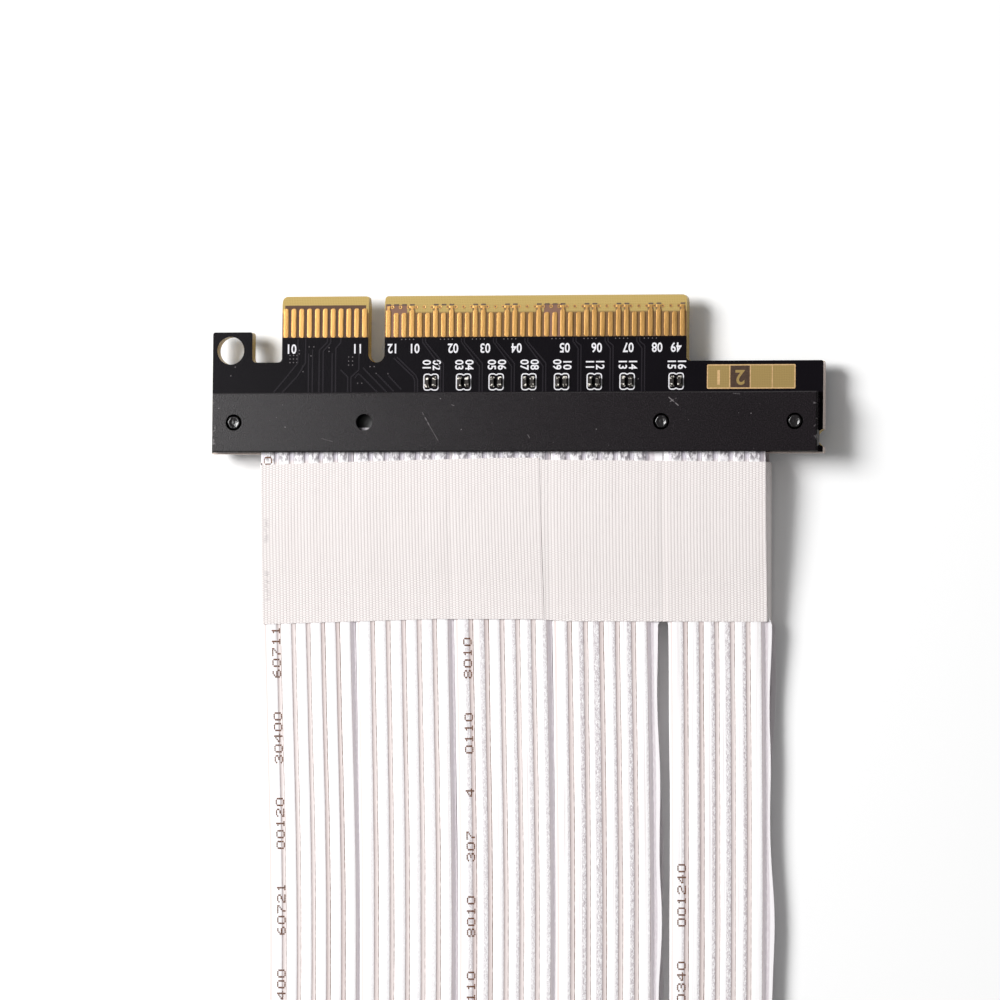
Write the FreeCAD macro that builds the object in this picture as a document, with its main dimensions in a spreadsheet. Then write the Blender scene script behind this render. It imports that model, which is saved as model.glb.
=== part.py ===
import FreeCAD, Part
import math
import os

import Sketcher

# A flat ribbon cable that carries an eight-lane card edge to a slot.
# It lies on its back: +Y points to the plug's leading edge, -Y to the slot, +Z up.
# The origin is on the floor, midway between the plug's tip and the socket board's far edge.

# Driving sizes, in millimetres.
SIZES = {
    "cable_length": 150.0,
    "board_thickness": 1.6,
    "board_overhang": 0.43,
    "board_lip": 0.15,
    "shoulder_depth": 11.15,
    "tongue_length": 8.15,
    "tongue_margin": 0.5,
    "tongue_corner": 0.65,
    "root_corner": 0.5,
    "recess_width": 3.78,
    "tab_width": 5.04,
    "tab_rise": 3.76,
    "outer_corner": 0.3,
    "tab_hole": 3.44,
    "tab_wall": 0.55,
    "bevel_length": 1.1,
    "bevel_height": 0.35,
    "bite_diameter": 2.2,
    "bite_height": 1.7,
    "bite_offset": 0.3,
    "finger_pitch": 1.0,
    "finger_width": 0.65,
    "finger_length": 3.5,
    "finger_setback": 0.5,
    "signal_drop": 0.55,
    "ground_rise": 0.4,
    "finger_thickness": 0.06,
    "key_pitch": 3.0,
    "key_margin": 0.15,
    "key_depth": 8.2,
    "key_corner": 0.4,
    "capacitor_length": 1.0,
    "capacitor_width": 0.5,
    "capacitor_height": 0.5,
    "capacitor_spacing": 0.95,
    "capacitor_gap": 0.85,
    "capacitor_start": 18.46,
    "capacitor_pitch": 4.11,
    "capacitor_step": 6.12,
    "ribbon_width": 12.34,
    "ribbon_thickness": 0.95,
    "ribbon_spacing": 0.1,
    "ribbon_gap": 1.7,
    "ribbon_insert": 3.0,
    "ribbon_clearance": 0.05,
    "ridge_pitch": 2.0,
    "wire_width": 1.0,
    "wire_height": 0.25,
    "wire_length": 1.8,
    "wire_clearance": 0.6,
    "cover_skin": 0.7,
    "cover_end": 6.14,
    "post_cover_setback": 1.4,
    "cover_lip": 1.9,
    "cover_chamfer": 0.15,
    "cover_side_clearance": 0.15,
    "post_inset": 2.75,
    "post_clearance": 0.05,
    "post_fit": 0.05,
    "post_recess": 0.15,
    "post_chamfer": 0.25,
    "cover_hole_gap": 0.22,
    "tape_width": 20.0,
    "tape_offset": 1.0,
    "tape_thickness": 0.15,
    "tape_clearance": 0.05,
    "slot_clearance": 2.0,
    "slot_end": 3.0,
    "slot_width": 7.5,
    "slot_height": 11.25,
    "slot_card_clearance": 0.12,
    "slot_floor_clearance": 0.4,
    "slot_lip": 1.2,
    "slot_lead": 0.4,
    "slot_standoff": 0.3,
    "slot_foot_gap": 0.6,
    "slot_corner": 0.5,
    "channel_clearance": 0.15,
    "island_width": 1.4,
    "contact_width": 0.4,
    "contact_thickness": 0.2,
    "contact_root": 1.95,
    "contact_top": 9.4,
    "contact_touch": 0.85,
    "foot_reach": 4.6,
    "socket_margin": 3.5,
    "socket_corner": 1.0,
    "fixing_hole": 3.2,
    "fixing_inset": 3.2,
}

# Counts: ribbons in a layer, the ones left of the gap that lets a post through, and ridges in one ribbon.
RIBBONS = 5
RIBBONS_LEFT = 4
RIDGES = 6

# Edge contacts on each face of the card, before and after the key. Past the key the ground contacts,
# counted from the key, reach further towards the tip than the signal contacts between them.
FIRST_FINGERS = 11
LATER_FINGERS = 38
GROUND_FINGERS = (1, 4, 7, 9, 12, 13, 16, 17, 20, 23, 26, 27, 30, 31, 34, 35, 38)

# Capacitor frames: an even row, then one that stands further off.
EVEN_FRAMES = 7

# The cable's route, chosen by hand. A ribbon keeps its board's height up to the leaving point. Each lying
# point is a distance from the nearer board and the height of the lower ribbon's underside above the floor.
ROUTE_LEAVES = 6.0
ROUTE_FROM_PLUG = ((24.0, 0.15), (58.0, 0.5))
ROUTE_FROM_SOCKET = ((58.0, 0.55), (24.0, 0.15))

doc = FreeCAD.newDocument("extension_cable")
sheet = doc.addObject("Spreadsheet::Sheet", "sizes")
for row, (alias, number) in enumerate(SIZES.items(), start=1):
    sheet.set(f"A{row}", alias)
    sheet.set(f"B{row}", str(number))
    sheet.setAlias(f"B{row}", alias)
doc.recompute()

# Sizes and places that follow from the sheet, as expressions.
RIBBON_SET = f"({RIBBONS} * sizes.ribbon_width + {RIBBONS - 2} * sizes.ribbon_spacing + sizes.ribbon_gap)"
GAP_X = (
    f"({RIBBONS_LEFT} * sizes.ribbon_width + {RIBBONS_LEFT - 1} * sizes.ribbon_spacing"
    f" + sizes.ribbon_gap / 2 - {RIBBON_SET} / 2)"
)
COVER_LENGTH = f"({RIBBON_SET} + 2 * sizes.cover_end)"
POST_COVER_LENGTH = f"({COVER_LENGTH} - 2 * sizes.post_cover_setback)"
CAVITY_HEIGHT = "(sizes.ribbon_thickness + sizes.ribbon_clearance)"
COVER_THICKNESS = f"({CAVITY_HEIGHT} + sizes.cover_skin)"
CAVITY_DEPTH = "(sizes.ribbon_insert + sizes.wire_length + sizes.wire_clearance)"
COVER_DEPTH = f"({CAVITY_DEPTH} + sizes.cover_lip)"
POST_X = f"({COVER_LENGTH} / 2 - sizes.post_inset)"
POST_Y = f"({COVER_DEPTH} / 2)"
POST_DIAMETER = "(sizes.ribbon_gap - 2 * sizes.post_clearance)"
POST_HOLE = f"({POST_DIAMETER} + 2 * sizes.post_fit)"
BOARD_TOP = f"({COVER_THICKNESS} + sizes.board_thickness)"
STACK_HEIGHT = f"({BOARD_TOP} + {COVER_THICKNESS})"
BOARD_RIGHT = f"({COVER_LENGTH} / 2 + sizes.board_overhang)"
BOARD_LEFT = f"(-{BOARD_RIGHT})"
TONGUE_TIP = "(sizes.shoulder_depth + sizes.tongue_length)"
TAB_TOP = "(sizes.shoulder_depth + sizes.tab_rise)"
TAB_RIGHT = f"({BOARD_LEFT} + sizes.tab_width)"
TAB_HOLE_X = f"({BOARD_LEFT} + sizes.tab_wall + sizes.tab_hole / 2)"
TAB_HOLE_Y = f"({TAB_TOP} - sizes.tab_wall - sizes.tab_hole / 2)"
TONGUE_LEFT = f"({TAB_RIGHT} + sizes.recess_width)"
FIRST_FINGER = f"({TONGUE_LEFT} + sizes.tongue_margin)"
KEY_X = f"({FIRST_FINGER} + {FIRST_FINGERS - 1} * sizes.finger_pitch + sizes.key_pitch / 2)"
LATER_FINGER = f"({KEY_X} + sizes.key_pitch / 2)"
LAST_FINGER = f"({LATER_FINGER} + {LATER_FINGERS - 1} * sizes.finger_pitch)"
TONGUE_RIGHT = f"({LAST_FINGER} + sizes.tongue_margin)"
KEY_WIDTH = "(sizes.key_pitch - sizes.finger_width - 2 * sizes.key_margin)"
FINGER_TOP = f"({TONGUE_TIP} - sizes.bevel_length - sizes.finger_setback)"
FINGER_FOOT = f"({FINGER_TOP} - sizes.finger_length)"
SIGNAL_TOP = f"({FINGER_TOP} - sizes.signal_drop)"
GROUND_TOP = f"({FINGER_TOP} + sizes.ground_rise)"
CAPACITOR_Y = f"({COVER_DEPTH} + sizes.capacitor_gap)"
SLOT_Y = f"({COVER_DEPTH} + sizes.slot_clearance + sizes.foot_reach)"
SOCKET_DEPTH = f"({SLOT_Y} + sizes.foot_reach + sizes.socket_margin)"
PLUG_Y = f"((sizes.cable_length + {SOCKET_DEPTH} - {TONGUE_TIP}) / 2)"
SOCKET_Y = f"({PLUG_Y} - sizes.cable_length)"


def size(expression):
    return float(sheet.evalExpression(expression))


def place(piece, y, z, half_turn=None):
    """Moves a piece to its place along the cable, turned over about an axis where one is given."""
    if half_turn:
        piece.Placement = FreeCAD.Placement(FreeCAD.Vector(), FreeCAD.Rotation(half_turn, 180))
    piece.setExpression("Placement.Base.y", y)
    piece.setExpression("Placement.Base.z", z)


def new_body(label):
    body = doc.addObject("PartDesign::Body", label)
    body.Label = label
    return body


def origin_feature(body, role):
    return next(feature for feature in body.Origin.OriginFeatures if feature.Role == role)


def new_sketch(body, name, plane="XY_Plane", offset=None):
    sketch = body.newObject("Sketcher::SketchObject", f"{body.Label}_{name}")
    sketch.AttachmentSupport = [(origin_feature(body, plane), "")]
    sketch.MapMode = "FlatFace"
    if offset:
        sketch.setExpression("AttachmentOffset.Base.z", offset)
    return sketch


def fix_point(sketch, geometry, point, corner):
    for kind, expression in zip(("DistanceX", "DistanceY"), corner):
        index = sketch.addConstraint(Sketcher.Constraint(kind, geometry, point, size(expression)))
        sketch.setExpression(f"Constraints[{index}]", expression)


def add_outline(sketch, corners):
    """Adds a closed outline of straight lines, each corner held by two bound distances."""
    first = sketch.GeometryCount
    count = len(corners)
    points = [FreeCAD.Vector(size(x), size(y), 0) for x, y in corners]
    for i in range(count):
        sketch.addGeometry(Part.LineSegment(points[i], points[(i + 1) % count]))
    for i in range(count):
        sketch.addConstraint(Sketcher.Constraint("Coincident", first + i, 2, first + (i + 1) % count, 1))
    for i in range(count):
        fix_point(sketch, first + i, 1, corners[i])


def add_rectangle(sketch, left, right, low, high):
    add_outline(sketch, [(left, low), (right, low), (right, high), (left, high)])


def add_circle(sketch, x, y, diameter):
    centre = FreeCAD.Vector(size(x), size(y), 0)
    circle = sketch.addGeometry(Part.Circle(centre, FreeCAD.Vector(0, 0, 1), size(diameter) / 2))
    fix_point(sketch, circle, 3, (x, y))
    index = sketch.addConstraint(Sketcher.Constraint("Diameter", circle, size(diameter)))
    sketch.setExpression(f"Constraints[{index}]", diameter)


def pad(body, name, sketch, length, downwards=False, symmetric=False):
    feature = body.newObject("PartDesign::Pad", f"{body.Label}_{name}")
    feature.Profile = sketch
    feature.setExpression("Length", length)
    feature.Reversed = downwards
    if symmetric:
        feature.SideType = "Symmetric"
    doc.recompute()
    return feature


def pocket(body, name, sketch, depth=None, upwards=False):
    """Cuts a sketch right through, or to a depth, and makes sure that it removed something."""
    before = body.Shape.Volume
    feature = body.newObject("PartDesign::Pocket", f"{body.Label}_{name}")
    feature.Profile = sketch
    if depth:
        feature.setExpression("Length", depth)
        feature.Reversed = upwards
    else:
        feature.Type = "ThroughAll"
        feature.SideType = "Symmetric"
    doc.recompute()
    if body.Shape.Volume >= before:
        raise RuntimeError(f"{feature.Label} cut nothing")
    return feature


def row_of(body, name, original, pitch, count):
    feature = body.newObject("PartDesign::LinearPattern", f"{body.Label}_{name}")
    feature.Originals = [original]
    feature.Direction = (origin_feature(body, "X_Axis"), [""])
    feature.Mode = "Spacing"
    feature.setExpression("Offset", pitch)
    feature.Occurrences = count
    body.Tip = feature
    doc.recompute()
    return feature


def dress(body, kind, name, radius, chosen):
    """Rounds or chamfers the edges that a test picks from the body's last feature."""
    base = body.Tip
    edges = [f"Edge{i}" for i, edge in enumerate(base.Shape.Edges, start=1) if chosen(edge)]
    if not edges:
        raise RuntimeError(f"{body.Label}_{name} found no edge")
    feature = body.newObject(f"PartDesign::{kind}", f"{body.Label}_{name}")
    feature.Base = (base, edges)
    feature.setExpression("Radius" if kind == "Fillet" else "Size", radius)
    doc.recompute()
    return feature


def upright_at(corners):
    """A test for the edges along Z at some corners of an outline."""
    places = [(size(x), size(y)) for x, y in corners]

    def chosen(edge):
        ends = [vertex.Point for vertex in edge.Vertexes]
        if len(ends) != 2 or math.hypot(ends[0].x - ends[1].x, ends[0].y - ends[1].y) > 1e-6:
            return False
        return any(math.hypot(ends[0].x - x, ends[0].y - y) < 1e-4 for x, y in places)

    return chosen


def level_at(height):
    """A test for the edges that lie at one height."""
    return lambda edge: all(abs(vertex.Z - height) < 1e-6 for vertex in edge.Vertexes)


# Plug board: bare laminate routed to the card-edge outline, with an ear at the left and a narrow lip that
# stands out past the covers on the cable's side.
plug_board = new_body("plug_board")
outline = new_sketch(plug_board, "outline")
add_outline(
    outline,
    [
        (BOARD_LEFT, "-sizes.board_lip"),
        (BOARD_RIGHT, "-sizes.board_lip"),
        (BOARD_RIGHT, "sizes.shoulder_depth"),
        (TONGUE_RIGHT, "sizes.shoulder_depth"),
        (TONGUE_RIGHT, TONGUE_TIP),
        (TONGUE_LEFT, TONGUE_TIP),
        (TONGUE_LEFT, "sizes.shoulder_depth"),
        (TAB_RIGHT, "sizes.shoulder_depth"),
        (TAB_RIGHT, TAB_TOP),
        (BOARD_LEFT, TAB_TOP),
    ],
)
pad(plug_board, "plate", outline, "sizes.board_thickness")

key = new_sketch(plug_board, "key")
KEY_LEFT = f"({KEY_X} - {KEY_WIDTH} / 2)"
KEY_RIGHT = f"({KEY_X} + {KEY_WIDTH} / 2)"
KEY_ROUND = f"({TONGUE_TIP} - sizes.key_depth + {KEY_WIDTH} / 2)"
add_rectangle(key, KEY_LEFT, KEY_RIGHT, KEY_ROUND, f"({TONGUE_TIP} + {KEY_WIDTH})")
pocket(plug_board, "key_notch", key)

# Round cuts: the key's foot, the ear's hole, the three posts and the bite left by the break-off tab.
rounds = new_sketch(plug_board, "rounds")
add_circle(rounds, KEY_X, KEY_ROUND, KEY_WIDTH)
add_circle(rounds, TAB_HOLE_X, TAB_HOLE_Y, "sizes.tab_hole")
for post_x in (f"-{POST_X}", GAP_X, POST_X):
    add_circle(rounds, post_x, POST_Y, POST_HOLE)
add_circle(rounds, f"({BOARD_RIGHT} + sizes.bite_offset)", "sizes.bite_height", "sizes.bite_diameter")
pocket(plug_board, "round_cuts", rounds)

# The tongue's leading edge is bevelled on both faces to ease it into a slot.
bevel = new_sketch(plug_board, "bevel", "YZ_Plane")
BEVEL_FOOT = f"({TONGUE_TIP} - sizes.bevel_length)"
BEVEL_HIGH = "(sizes.board_thickness - sizes.bevel_height)"
add_outline(bevel, [(BEVEL_FOOT, "0"), (TONGUE_TIP, "0"), (TONGUE_TIP, "sizes.bevel_height")])
BEVEL_TOP = "sizes.board_thickness"
add_outline(bevel, [(BEVEL_FOOT, BEVEL_TOP), (TONGUE_TIP, BEVEL_HIGH), (TONGUE_TIP, BEVEL_TOP)])
pocket(plug_board, "leading_bevel", bevel)
ROOTS = [(root_x, "sizes.shoulder_depth") for root_x in (TONGUE_RIGHT, TONGUE_LEFT, TAB_RIGHT)]
OUTER_CORNERS = [(TAB_RIGHT, TAB_TOP), (BOARD_LEFT, TAB_TOP), (BOARD_RIGHT, "sizes.shoulder_depth")]
TONGUE_CORNERS = [(TONGUE_RIGHT, TONGUE_TIP), (TONGUE_LEFT, TONGUE_TIP)]
KEY_CORNERS = [(KEY_LEFT, TONGUE_TIP), (KEY_RIGHT, TONGUE_TIP)]
dress(plug_board, "Fillet", "root_rounds", "sizes.root_corner", upright_at(ROOTS))
dress(plug_board, "Fillet", "outer_rounds", "sizes.outer_corner", upright_at(OUTER_CORNERS))
dress(plug_board, "Fillet", "tongue_rounds", "sizes.tongue_corner", upright_at(TONGUE_CORNERS))
dress(plug_board, "Fillet", "key_rounds", "sizes.key_corner", upright_at(KEY_CORNERS))
place(plug_board, PLUG_Y, COVER_THICKNESS)


def make_fingers(label, height, downwards):
    """Gold edge contacts, plated on one face of the tongue."""
    fingers = new_body(label)
    for name, x, top, count in (
        ("first", FIRST_FINGER, FINGER_TOP, FIRST_FINGERS),
        ("later", LATER_FINGER, SIGNAL_TOP, LATER_FINGERS),
    ):
        sketch = new_sketch(fingers, f"{name}_outline")
        left = f"({x} - sizes.finger_width / 2)"
        add_rectangle(sketch, left, f"({left} + sizes.finger_width)", FINGER_FOOT, top)
        finger = pad(fingers, f"{name}_finger", sketch, "sizes.finger_thickness", downwards)
        row_of(fingers, f"{name}_row", finger, "sizes.finger_pitch", count)
    grounds = new_sketch(fingers, "ground_outline")
    for number in [ground for ground in GROUND_FINGERS if ground <= LATER_FINGERS]:
        left = f"({LATER_FINGER} + {number - 1} * sizes.finger_pitch - sizes.finger_width / 2)"
        add_rectangle(grounds, left, f"({left} + sizes.finger_width)", SIGNAL_TOP, GROUND_TOP)
    pad(fingers, "ground_ends", grounds, "sizes.finger_thickness", downwards)
    place(fingers, PLUG_Y, height)
    return fingers


plug_contacts_front = make_fingers("plug_contacts_front", BOARD_TOP, False)
plug_contacts_rear = make_fingers("plug_contacts_rear", COVER_THICKNESS, True)

# Coupling capacitors: two chips to a lane, side by side above the cover.
capacitors = new_body("coupling_capacitors")
FIRST_FRAME = f"({FIRST_FINGER} + sizes.capacitor_start)"
LAST_FRAME = f"({FIRST_FRAME} + {EVEN_FRAMES - 1} * sizes.capacitor_pitch + sizes.capacitor_step)"
for name, x, count in (("even", FIRST_FRAME, EVEN_FRAMES), ("last", LAST_FRAME, 1)):
    chips = new_sketch(capacitors, f"{name}_outline")
    for side in (-1, 1):
        middle = f"({x} + {side} * sizes.capacitor_spacing / 2)"
        left = f"({middle} - sizes.capacitor_width / 2)"
        right = f"({middle} + sizes.capacitor_width / 2)"
        add_rectangle(chips, left, right, CAPACITOR_Y, f"({CAPACITOR_Y} + sizes.capacitor_length)")
    chip = pad(capacitors, f"{name}_chips", chips, "sizes.capacitor_height")
    if count > 1:
        row_of(capacitors, f"{name}_row", chip, "sizes.capacitor_pitch", count)
place(capacitors, PLUG_Y, BOARD_TOP)


def start_cover(label, length):
    """A moulded bar: its outer face at z = 0, the inner face up, and a cavity open to the cable's side."""
    cover = new_body(label)
    plate = new_sketch(cover, "plate")
    add_rectangle(plate, f"(-{length} / 2)", f"({length} / 2)", "0", COVER_DEPTH)
    pad(cover, "plate_pad", plate, COVER_THICKNESS)
    cavity = new_sketch(cover, "cavity", offset=COVER_THICKNESS)
    half = f"({RIBBON_SET} / 2 + sizes.cover_side_clearance)"
    add_rectangle(cavity, f"-{half}", half, f"-{CAVITY_DEPTH}", CAVITY_DEPTH)
    pocket(cover, "cavity_pocket", cavity, CAVITY_HEIGHT)
    dress(cover, "Chamfer", "outer_edge", "sizes.cover_chamfer", level_at(0))
    return cover


def make_holed_cover(label):
    """The cover that the posts come through: four holes, one of them left empty."""
    cover = start_cover(label, COVER_LENGTH)
    holes = new_sketch(cover, "holes")
    for x in (f"-{POST_X}", f"-{GAP_X}", GAP_X, POST_X):
        add_circle(holes, x, POST_Y, f"({POST_DIAMETER} + 2 * sizes.cover_hole_gap)")
    pocket(cover, "hole_cuts", holes)
    return cover


def make_post_cover(label):
    """The shorter cover, which carries the posts: one at each end and one that rises between two ribbons."""
    cover = start_cover(label, POST_COVER_LENGTH)
    posts = new_sketch(cover, "posts")
    for x in (f"-{POST_X}", GAP_X, POST_X):
        add_circle(posts, x, POST_Y, POST_DIAMETER)
    height = f"({STACK_HEIGHT} - sizes.post_recess)"
    pad(cover, "post_pads", posts, height)
    dress(cover, "Chamfer", "post_tips", "sizes.post_chamfer", level_at(size(height)))
    return cover


ABOUT_X = FreeCAD.Vector(1, 0, 0)
ABOUT_Y = FreeCAD.Vector(0, 1, 0)
ABOUT_Z = FreeCAD.Vector(0, 0, 1)

# The same two mouldings serve both ends: at the socket each is turned over.
plug_rear_cover = make_post_cover("plug_rear_cover")
place(plug_rear_cover, PLUG_Y, "0")
plug_front_cover = make_holed_cover("plug_front_cover")
place(plug_front_cover, PLUG_Y, STACK_HEIGHT, ABOUT_Y)
socket_front_cover = make_post_cover("socket_front_cover")
place(socket_front_cover, SOCKET_Y, STACK_HEIGHT, ABOUT_X)
socket_rear_cover = make_holed_cover("socket_rear_cover")
place(socket_rear_cover, SOCKET_Y, "0", ABOUT_Z)


def route(front, x=0.0):
    """The middle line of a ribbon in the front or the rear layer, as points."""
    thickness = size("sizes.ribbon_thickness")
    insert = size("sizes.ribbon_insert")
    seat = size(BOARD_TOP) + thickness / 2 if front else size(COVER_THICKNESS) - thickness / 2
    lift = thickness / 2 + (thickness + size("sizes.ribbon_clearance") if front else 0.0)
    cable = size("sizes.cable_length")
    points = [(-insert, seat), (ROUTE_LEAVES, seat)]
    points += [(along, lying + lift) for along, lying in ROUTE_FROM_PLUG]
    points += [(cable - along, lying + lift) for along, lying in ROUTE_FROM_SOCKET]
    points += [(cable - ROUTE_LEAVES, seat), (cable + insert, seat)]
    start = size(PLUG_Y)
    return [FreeCAD.Vector(x, start - along, z) for along, z in points]


def upward(direction):
    """The upper normal of a run towards the socket."""
    return FreeCAD.Vector(0, direction.z, -direction.y)


# An arc takes up this share of the shorter of the two runs that it joins.
ARC_SHARE = 0.45


def rounded_route(points, offset=0.0, radii=None):
    """Straight runs joined by tangent arcs as large as the runs allow, moved up by an offset."""
    runs = [(after - before).normalize() for before, after in zip(points, points[1:])]
    here = points[0] + upward(runs[0]) * offset
    edges = []
    for i in range(1, len(points) - 1):
        before, after = runs[i - 1], runs[i]
        shorter = min(points[i].distanceToPoint(points[i + step]) for step in (-1, 1))
        reach = ARC_SHARE * shorter
        radius = reach / math.tan(before.getAngle(after) / 2)
        bend = 1 if upward(before).dot(after) > 0 else -1
        centre = points[i] - before * reach + upward(before) * (bend * radius)
        spoke = bend * radius - offset
        arc_start = centre - upward(before) * spoke
        arc_middle = centre - (upward(before) + upward(after)).normalize() * spoke
        arc_end = centre - upward(after) * spoke
        edges.append(Part.LineSegment(here, arc_start).toShape())
        edges.append(Part.Arc(arc_start, arc_middle, arc_end).toShape())
        here = arc_end
        if radii is not None:
            radii.append(round(radius))
    edges.append(Part.LineSegment(here, points[-1] + upward(runs[-1]) * offset).toShape())
    return edges


def new_shape(label, shape):
    piece = doc.addObject("Part::Feature", label)
    piece.Label = label
    piece.Shape = shape
    return piece


def ribbon_left(index):
    """The left side of a ribbon, counted from the left; the post stands in the gap before the last."""
    step = size("sizes.ribbon_width + sizes.ribbon_spacing")
    extra = size("sizes.ribbon_gap - sizes.ribbon_spacing") if index >= RIBBONS_LEFT else 0.0
    return -size(RIBBON_SET) / 2 + index * step + extra


def make_ribbon(label, x, front):
    """A flat cable, swept along its layer's route."""
    points = route(front, x)
    across = FreeCAD.Vector(size("sizes.ribbon_width") / 2, 0, 0)
    up = FreeCAD.Vector(0, 0, size("sizes.ribbon_thickness") / 2)
    section = [points[0] + corner for corner in (across + up, up - across, -across - up, across - up)]
    outline = Part.makePolygon(section + section[:1])
    radii = []
    path = Part.Wire(rounded_route(points, radii=radii))
    solid = path.makePipeShell([outline], True, False)
    expected = Part.Face(outline).Area * path.Length
    if abs(solid.Volume - expected) > 0.001 * expected:
        raise RuntimeError(f"{label} has the wrong volume")
    print(label, "length", round(path.Length, 1), "bend radii", radii)
    return new_shape(label, solid)


# Ribbons: five foil-wrapped flat cables in each of two layers.
for layer, front in (("front", True), ("rear", False)):
    for index in range(RIBBONS):
        middle = ribbon_left(index) + size("sizes.ribbon_width") / 2
        make_ribbon(f"{layer}_ribbon_{index + 1}", middle, front)


def between_layers(grow):
    """The space that the two layers and what is between them take up, grown on all sides."""
    reach = size("sizes.ribbon_thickness") / 2 + grow
    upper = rounded_route(route(True), reach)
    lower = rounded_route(route(False), -reach)
    ends = [
        Part.LineSegment(upper[0].Vertexes[0].Point, lower[0].Vertexes[0].Point).toShape(),
        Part.LineSegment(upper[-1].Vertexes[-1].Point, lower[-1].Vertexes[-1].Point).toShape(),
    ]
    face = Part.Face(Part.Wire(Part.__sortEdges__(upper + lower + ends)))
    half = size(RIBBON_SET) / 2 + grow
    face.translate(FreeCAD.Vector(-half, 0, 0))
    return face.extrude(FreeCAD.Vector(2 * half, 0, 0))


def make_tape(label, edge, direction):
    """Cloth tape wound once round both layers, beside a cover's edge."""
    clearance = size("sizes.tape_clearance")
    outer = between_layers(clearance + size("sizes.tape_thickness"))
    near = edge + direction * size("sizes.tape_offset")
    far = near + direction * size("sizes.tape_width")
    room = outer.BoundBox
    low = FreeCAD.Vector(room.XMin - 1, min(near, far), room.ZMin - 1)
    band = Part.makeBox(room.XLength + 2, abs(far - near), room.ZLength + 2, low)
    return new_shape(label, outer.common(band).cut(between_layers(clearance)))


make_tape("plug_tape", size(PLUG_Y), -1)
make_tape("socket_tape", size(SOCKET_Y), 1)


def make_wires(label, edge, direction, front):
    """Stripped wire pairs, one to a ridge, soldered flat on the board at the ribbons' ends."""
    width = size("sizes.wire_width")
    height = size("sizes.wire_height")
    length = size("sizes.wire_length")
    near = edge + direction * size("sizes.ribbon_insert")
    low_y = min(near, near + direction * length)
    low_z = size(BOARD_TOP) if front else size(COVER_THICKNESS) - height
    pitch = size("sizes.ridge_pitch")
    margin = (size("sizes.ribbon_width") - (RIDGES - 1) * pitch) / 2
    wires = []
    for index in range(RIBBONS):
        for ridge in range(RIDGES):
            left = ribbon_left(index) + margin + ridge * pitch - width / 2
            wires.append(Part.makeBox(width, length, height, FreeCAD.Vector(left, low_y, low_z)))
    return new_shape(label, Part.makeCompound(wires))


for end, edge, direction in (("plug", PLUG_Y, 1), ("socket", SOCKET_Y, -1)):
    for layer, front in (("front", True), ("rear", False)):
        make_wires(f"{end}_{layer}_wires", size(edge), direction, front)

# Socket board: a plain plate that carries the slot, with two fixing holes.
HOUSING_LEFT = f"({FIRST_FINGER} - sizes.slot_end)"
HOUSING_RIGHT = f"({LAST_FINGER} + sizes.slot_end)"
SLOT_FOOT = "(sizes.slot_end - sizes.slot_foot_gap)"
FIXING_X = f"({BOARD_RIGHT} - sizes.fixing_inset)"

socket_board = new_body("socket_board")
outline = new_sketch(socket_board, "outline")
add_rectangle(outline, BOARD_LEFT, BOARD_RIGHT, f"-{SOCKET_DEPTH}", "0")
pad(socket_board, "plate", outline, "sizes.board_thickness")
holes = new_sketch(socket_board, "holes")
for post_x in (f"-{POST_X}", GAP_X, POST_X):
    add_circle(holes, post_x, f"-{POST_Y}", POST_HOLE)
for fixing_x in (f"-{FIXING_X}", FIXING_X):
    add_circle(holes, fixing_x, f"-{SLOT_Y}", "sizes.fixing_hole")
pocket(socket_board, "hole_cuts", holes)
corners = [(side, f"-{SOCKET_DEPTH}") for side in (BOARD_LEFT, BOARD_RIGHT)]
dress(socket_board, "Fillet", "corner_rounds", "sizes.socket_corner", upright_at(corners))
place(socket_board, SOCKET_Y, COVER_THICKNESS)

# Slot housing: a moulded block on two end feet, with a keyed mouth for the card.
MOUTH = "(sizes.board_thickness + 2 * sizes.slot_card_clearance)"
MOUTH_DEPTH = "(sizes.tongue_length + sizes.slot_floor_clearance)"
MOUTH_END = "(sizes.tongue_margin + sizes.slot_card_clearance)"
RIB = f"({KEY_WIDTH} - 2 * sizes.slot_card_clearance)"
MOUTH_SPANS = (
    (f"({FIRST_FINGER} - {MOUTH_END})", f"({KEY_X} - {RIB} / 2)"),
    (f"({KEY_X} + {RIB} / 2)", f"({LAST_FINGER} + {MOUTH_END})"),
)
CHANNEL = "(sizes.contact_root + sizes.contact_thickness / 2 + sizes.channel_clearance)"
HOUSING_Y = f"({SOCKET_Y} - {SLOT_Y})"

slot_housing = new_body("slot_housing")
block = new_sketch(slot_housing, "block", offset="sizes.slot_standoff")
HALF = "(sizes.slot_width / 2)"
add_rectangle(block, HOUSING_LEFT, HOUSING_RIGHT, f"-{HALF}", HALF)
pad(slot_housing, "block_pad", block, "(sizes.slot_height - sizes.slot_standoff)")
dress(
    slot_housing,
    "Fillet",
    "block_corners",
    "sizes.slot_corner",
    upright_at([(x, y) for x in (HOUSING_LEFT, HOUSING_RIGHT) for y in (HALF, f"-{HALF}")]),
)
mouth = new_sketch(slot_housing, "mouth", offset="sizes.slot_height")
for left, right in MOUTH_SPANS:
    add_rectangle(mouth, left, right, f"(-{MOUTH} / 2)", f"({MOUTH} / 2)")
pocket(slot_housing, "mouth_pocket", mouth, MOUTH_DEPTH)
mouth_half = size(MOUTH) / 2
at_top = level_at(size("sizes.slot_height"))
dress(
    slot_housing,
    "Chamfer",
    "mouth_lead",
    "sizes.slot_lead",
    lambda edge: at_top(edge) and all(abs(vertex.Y) < mouth_half + 1e-6 for vertex in edge.Vertexes),
)
channels = new_sketch(slot_housing, "channels", offset="sizes.slot_standoff")
for left, right in MOUTH_SPANS:
    add_rectangle(channels, left, right, "(sizes.island_width / 2)", CHANNEL)
    add_rectangle(channels, left, right, f"-{CHANNEL}", "(-sizes.island_width / 2)")
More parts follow.
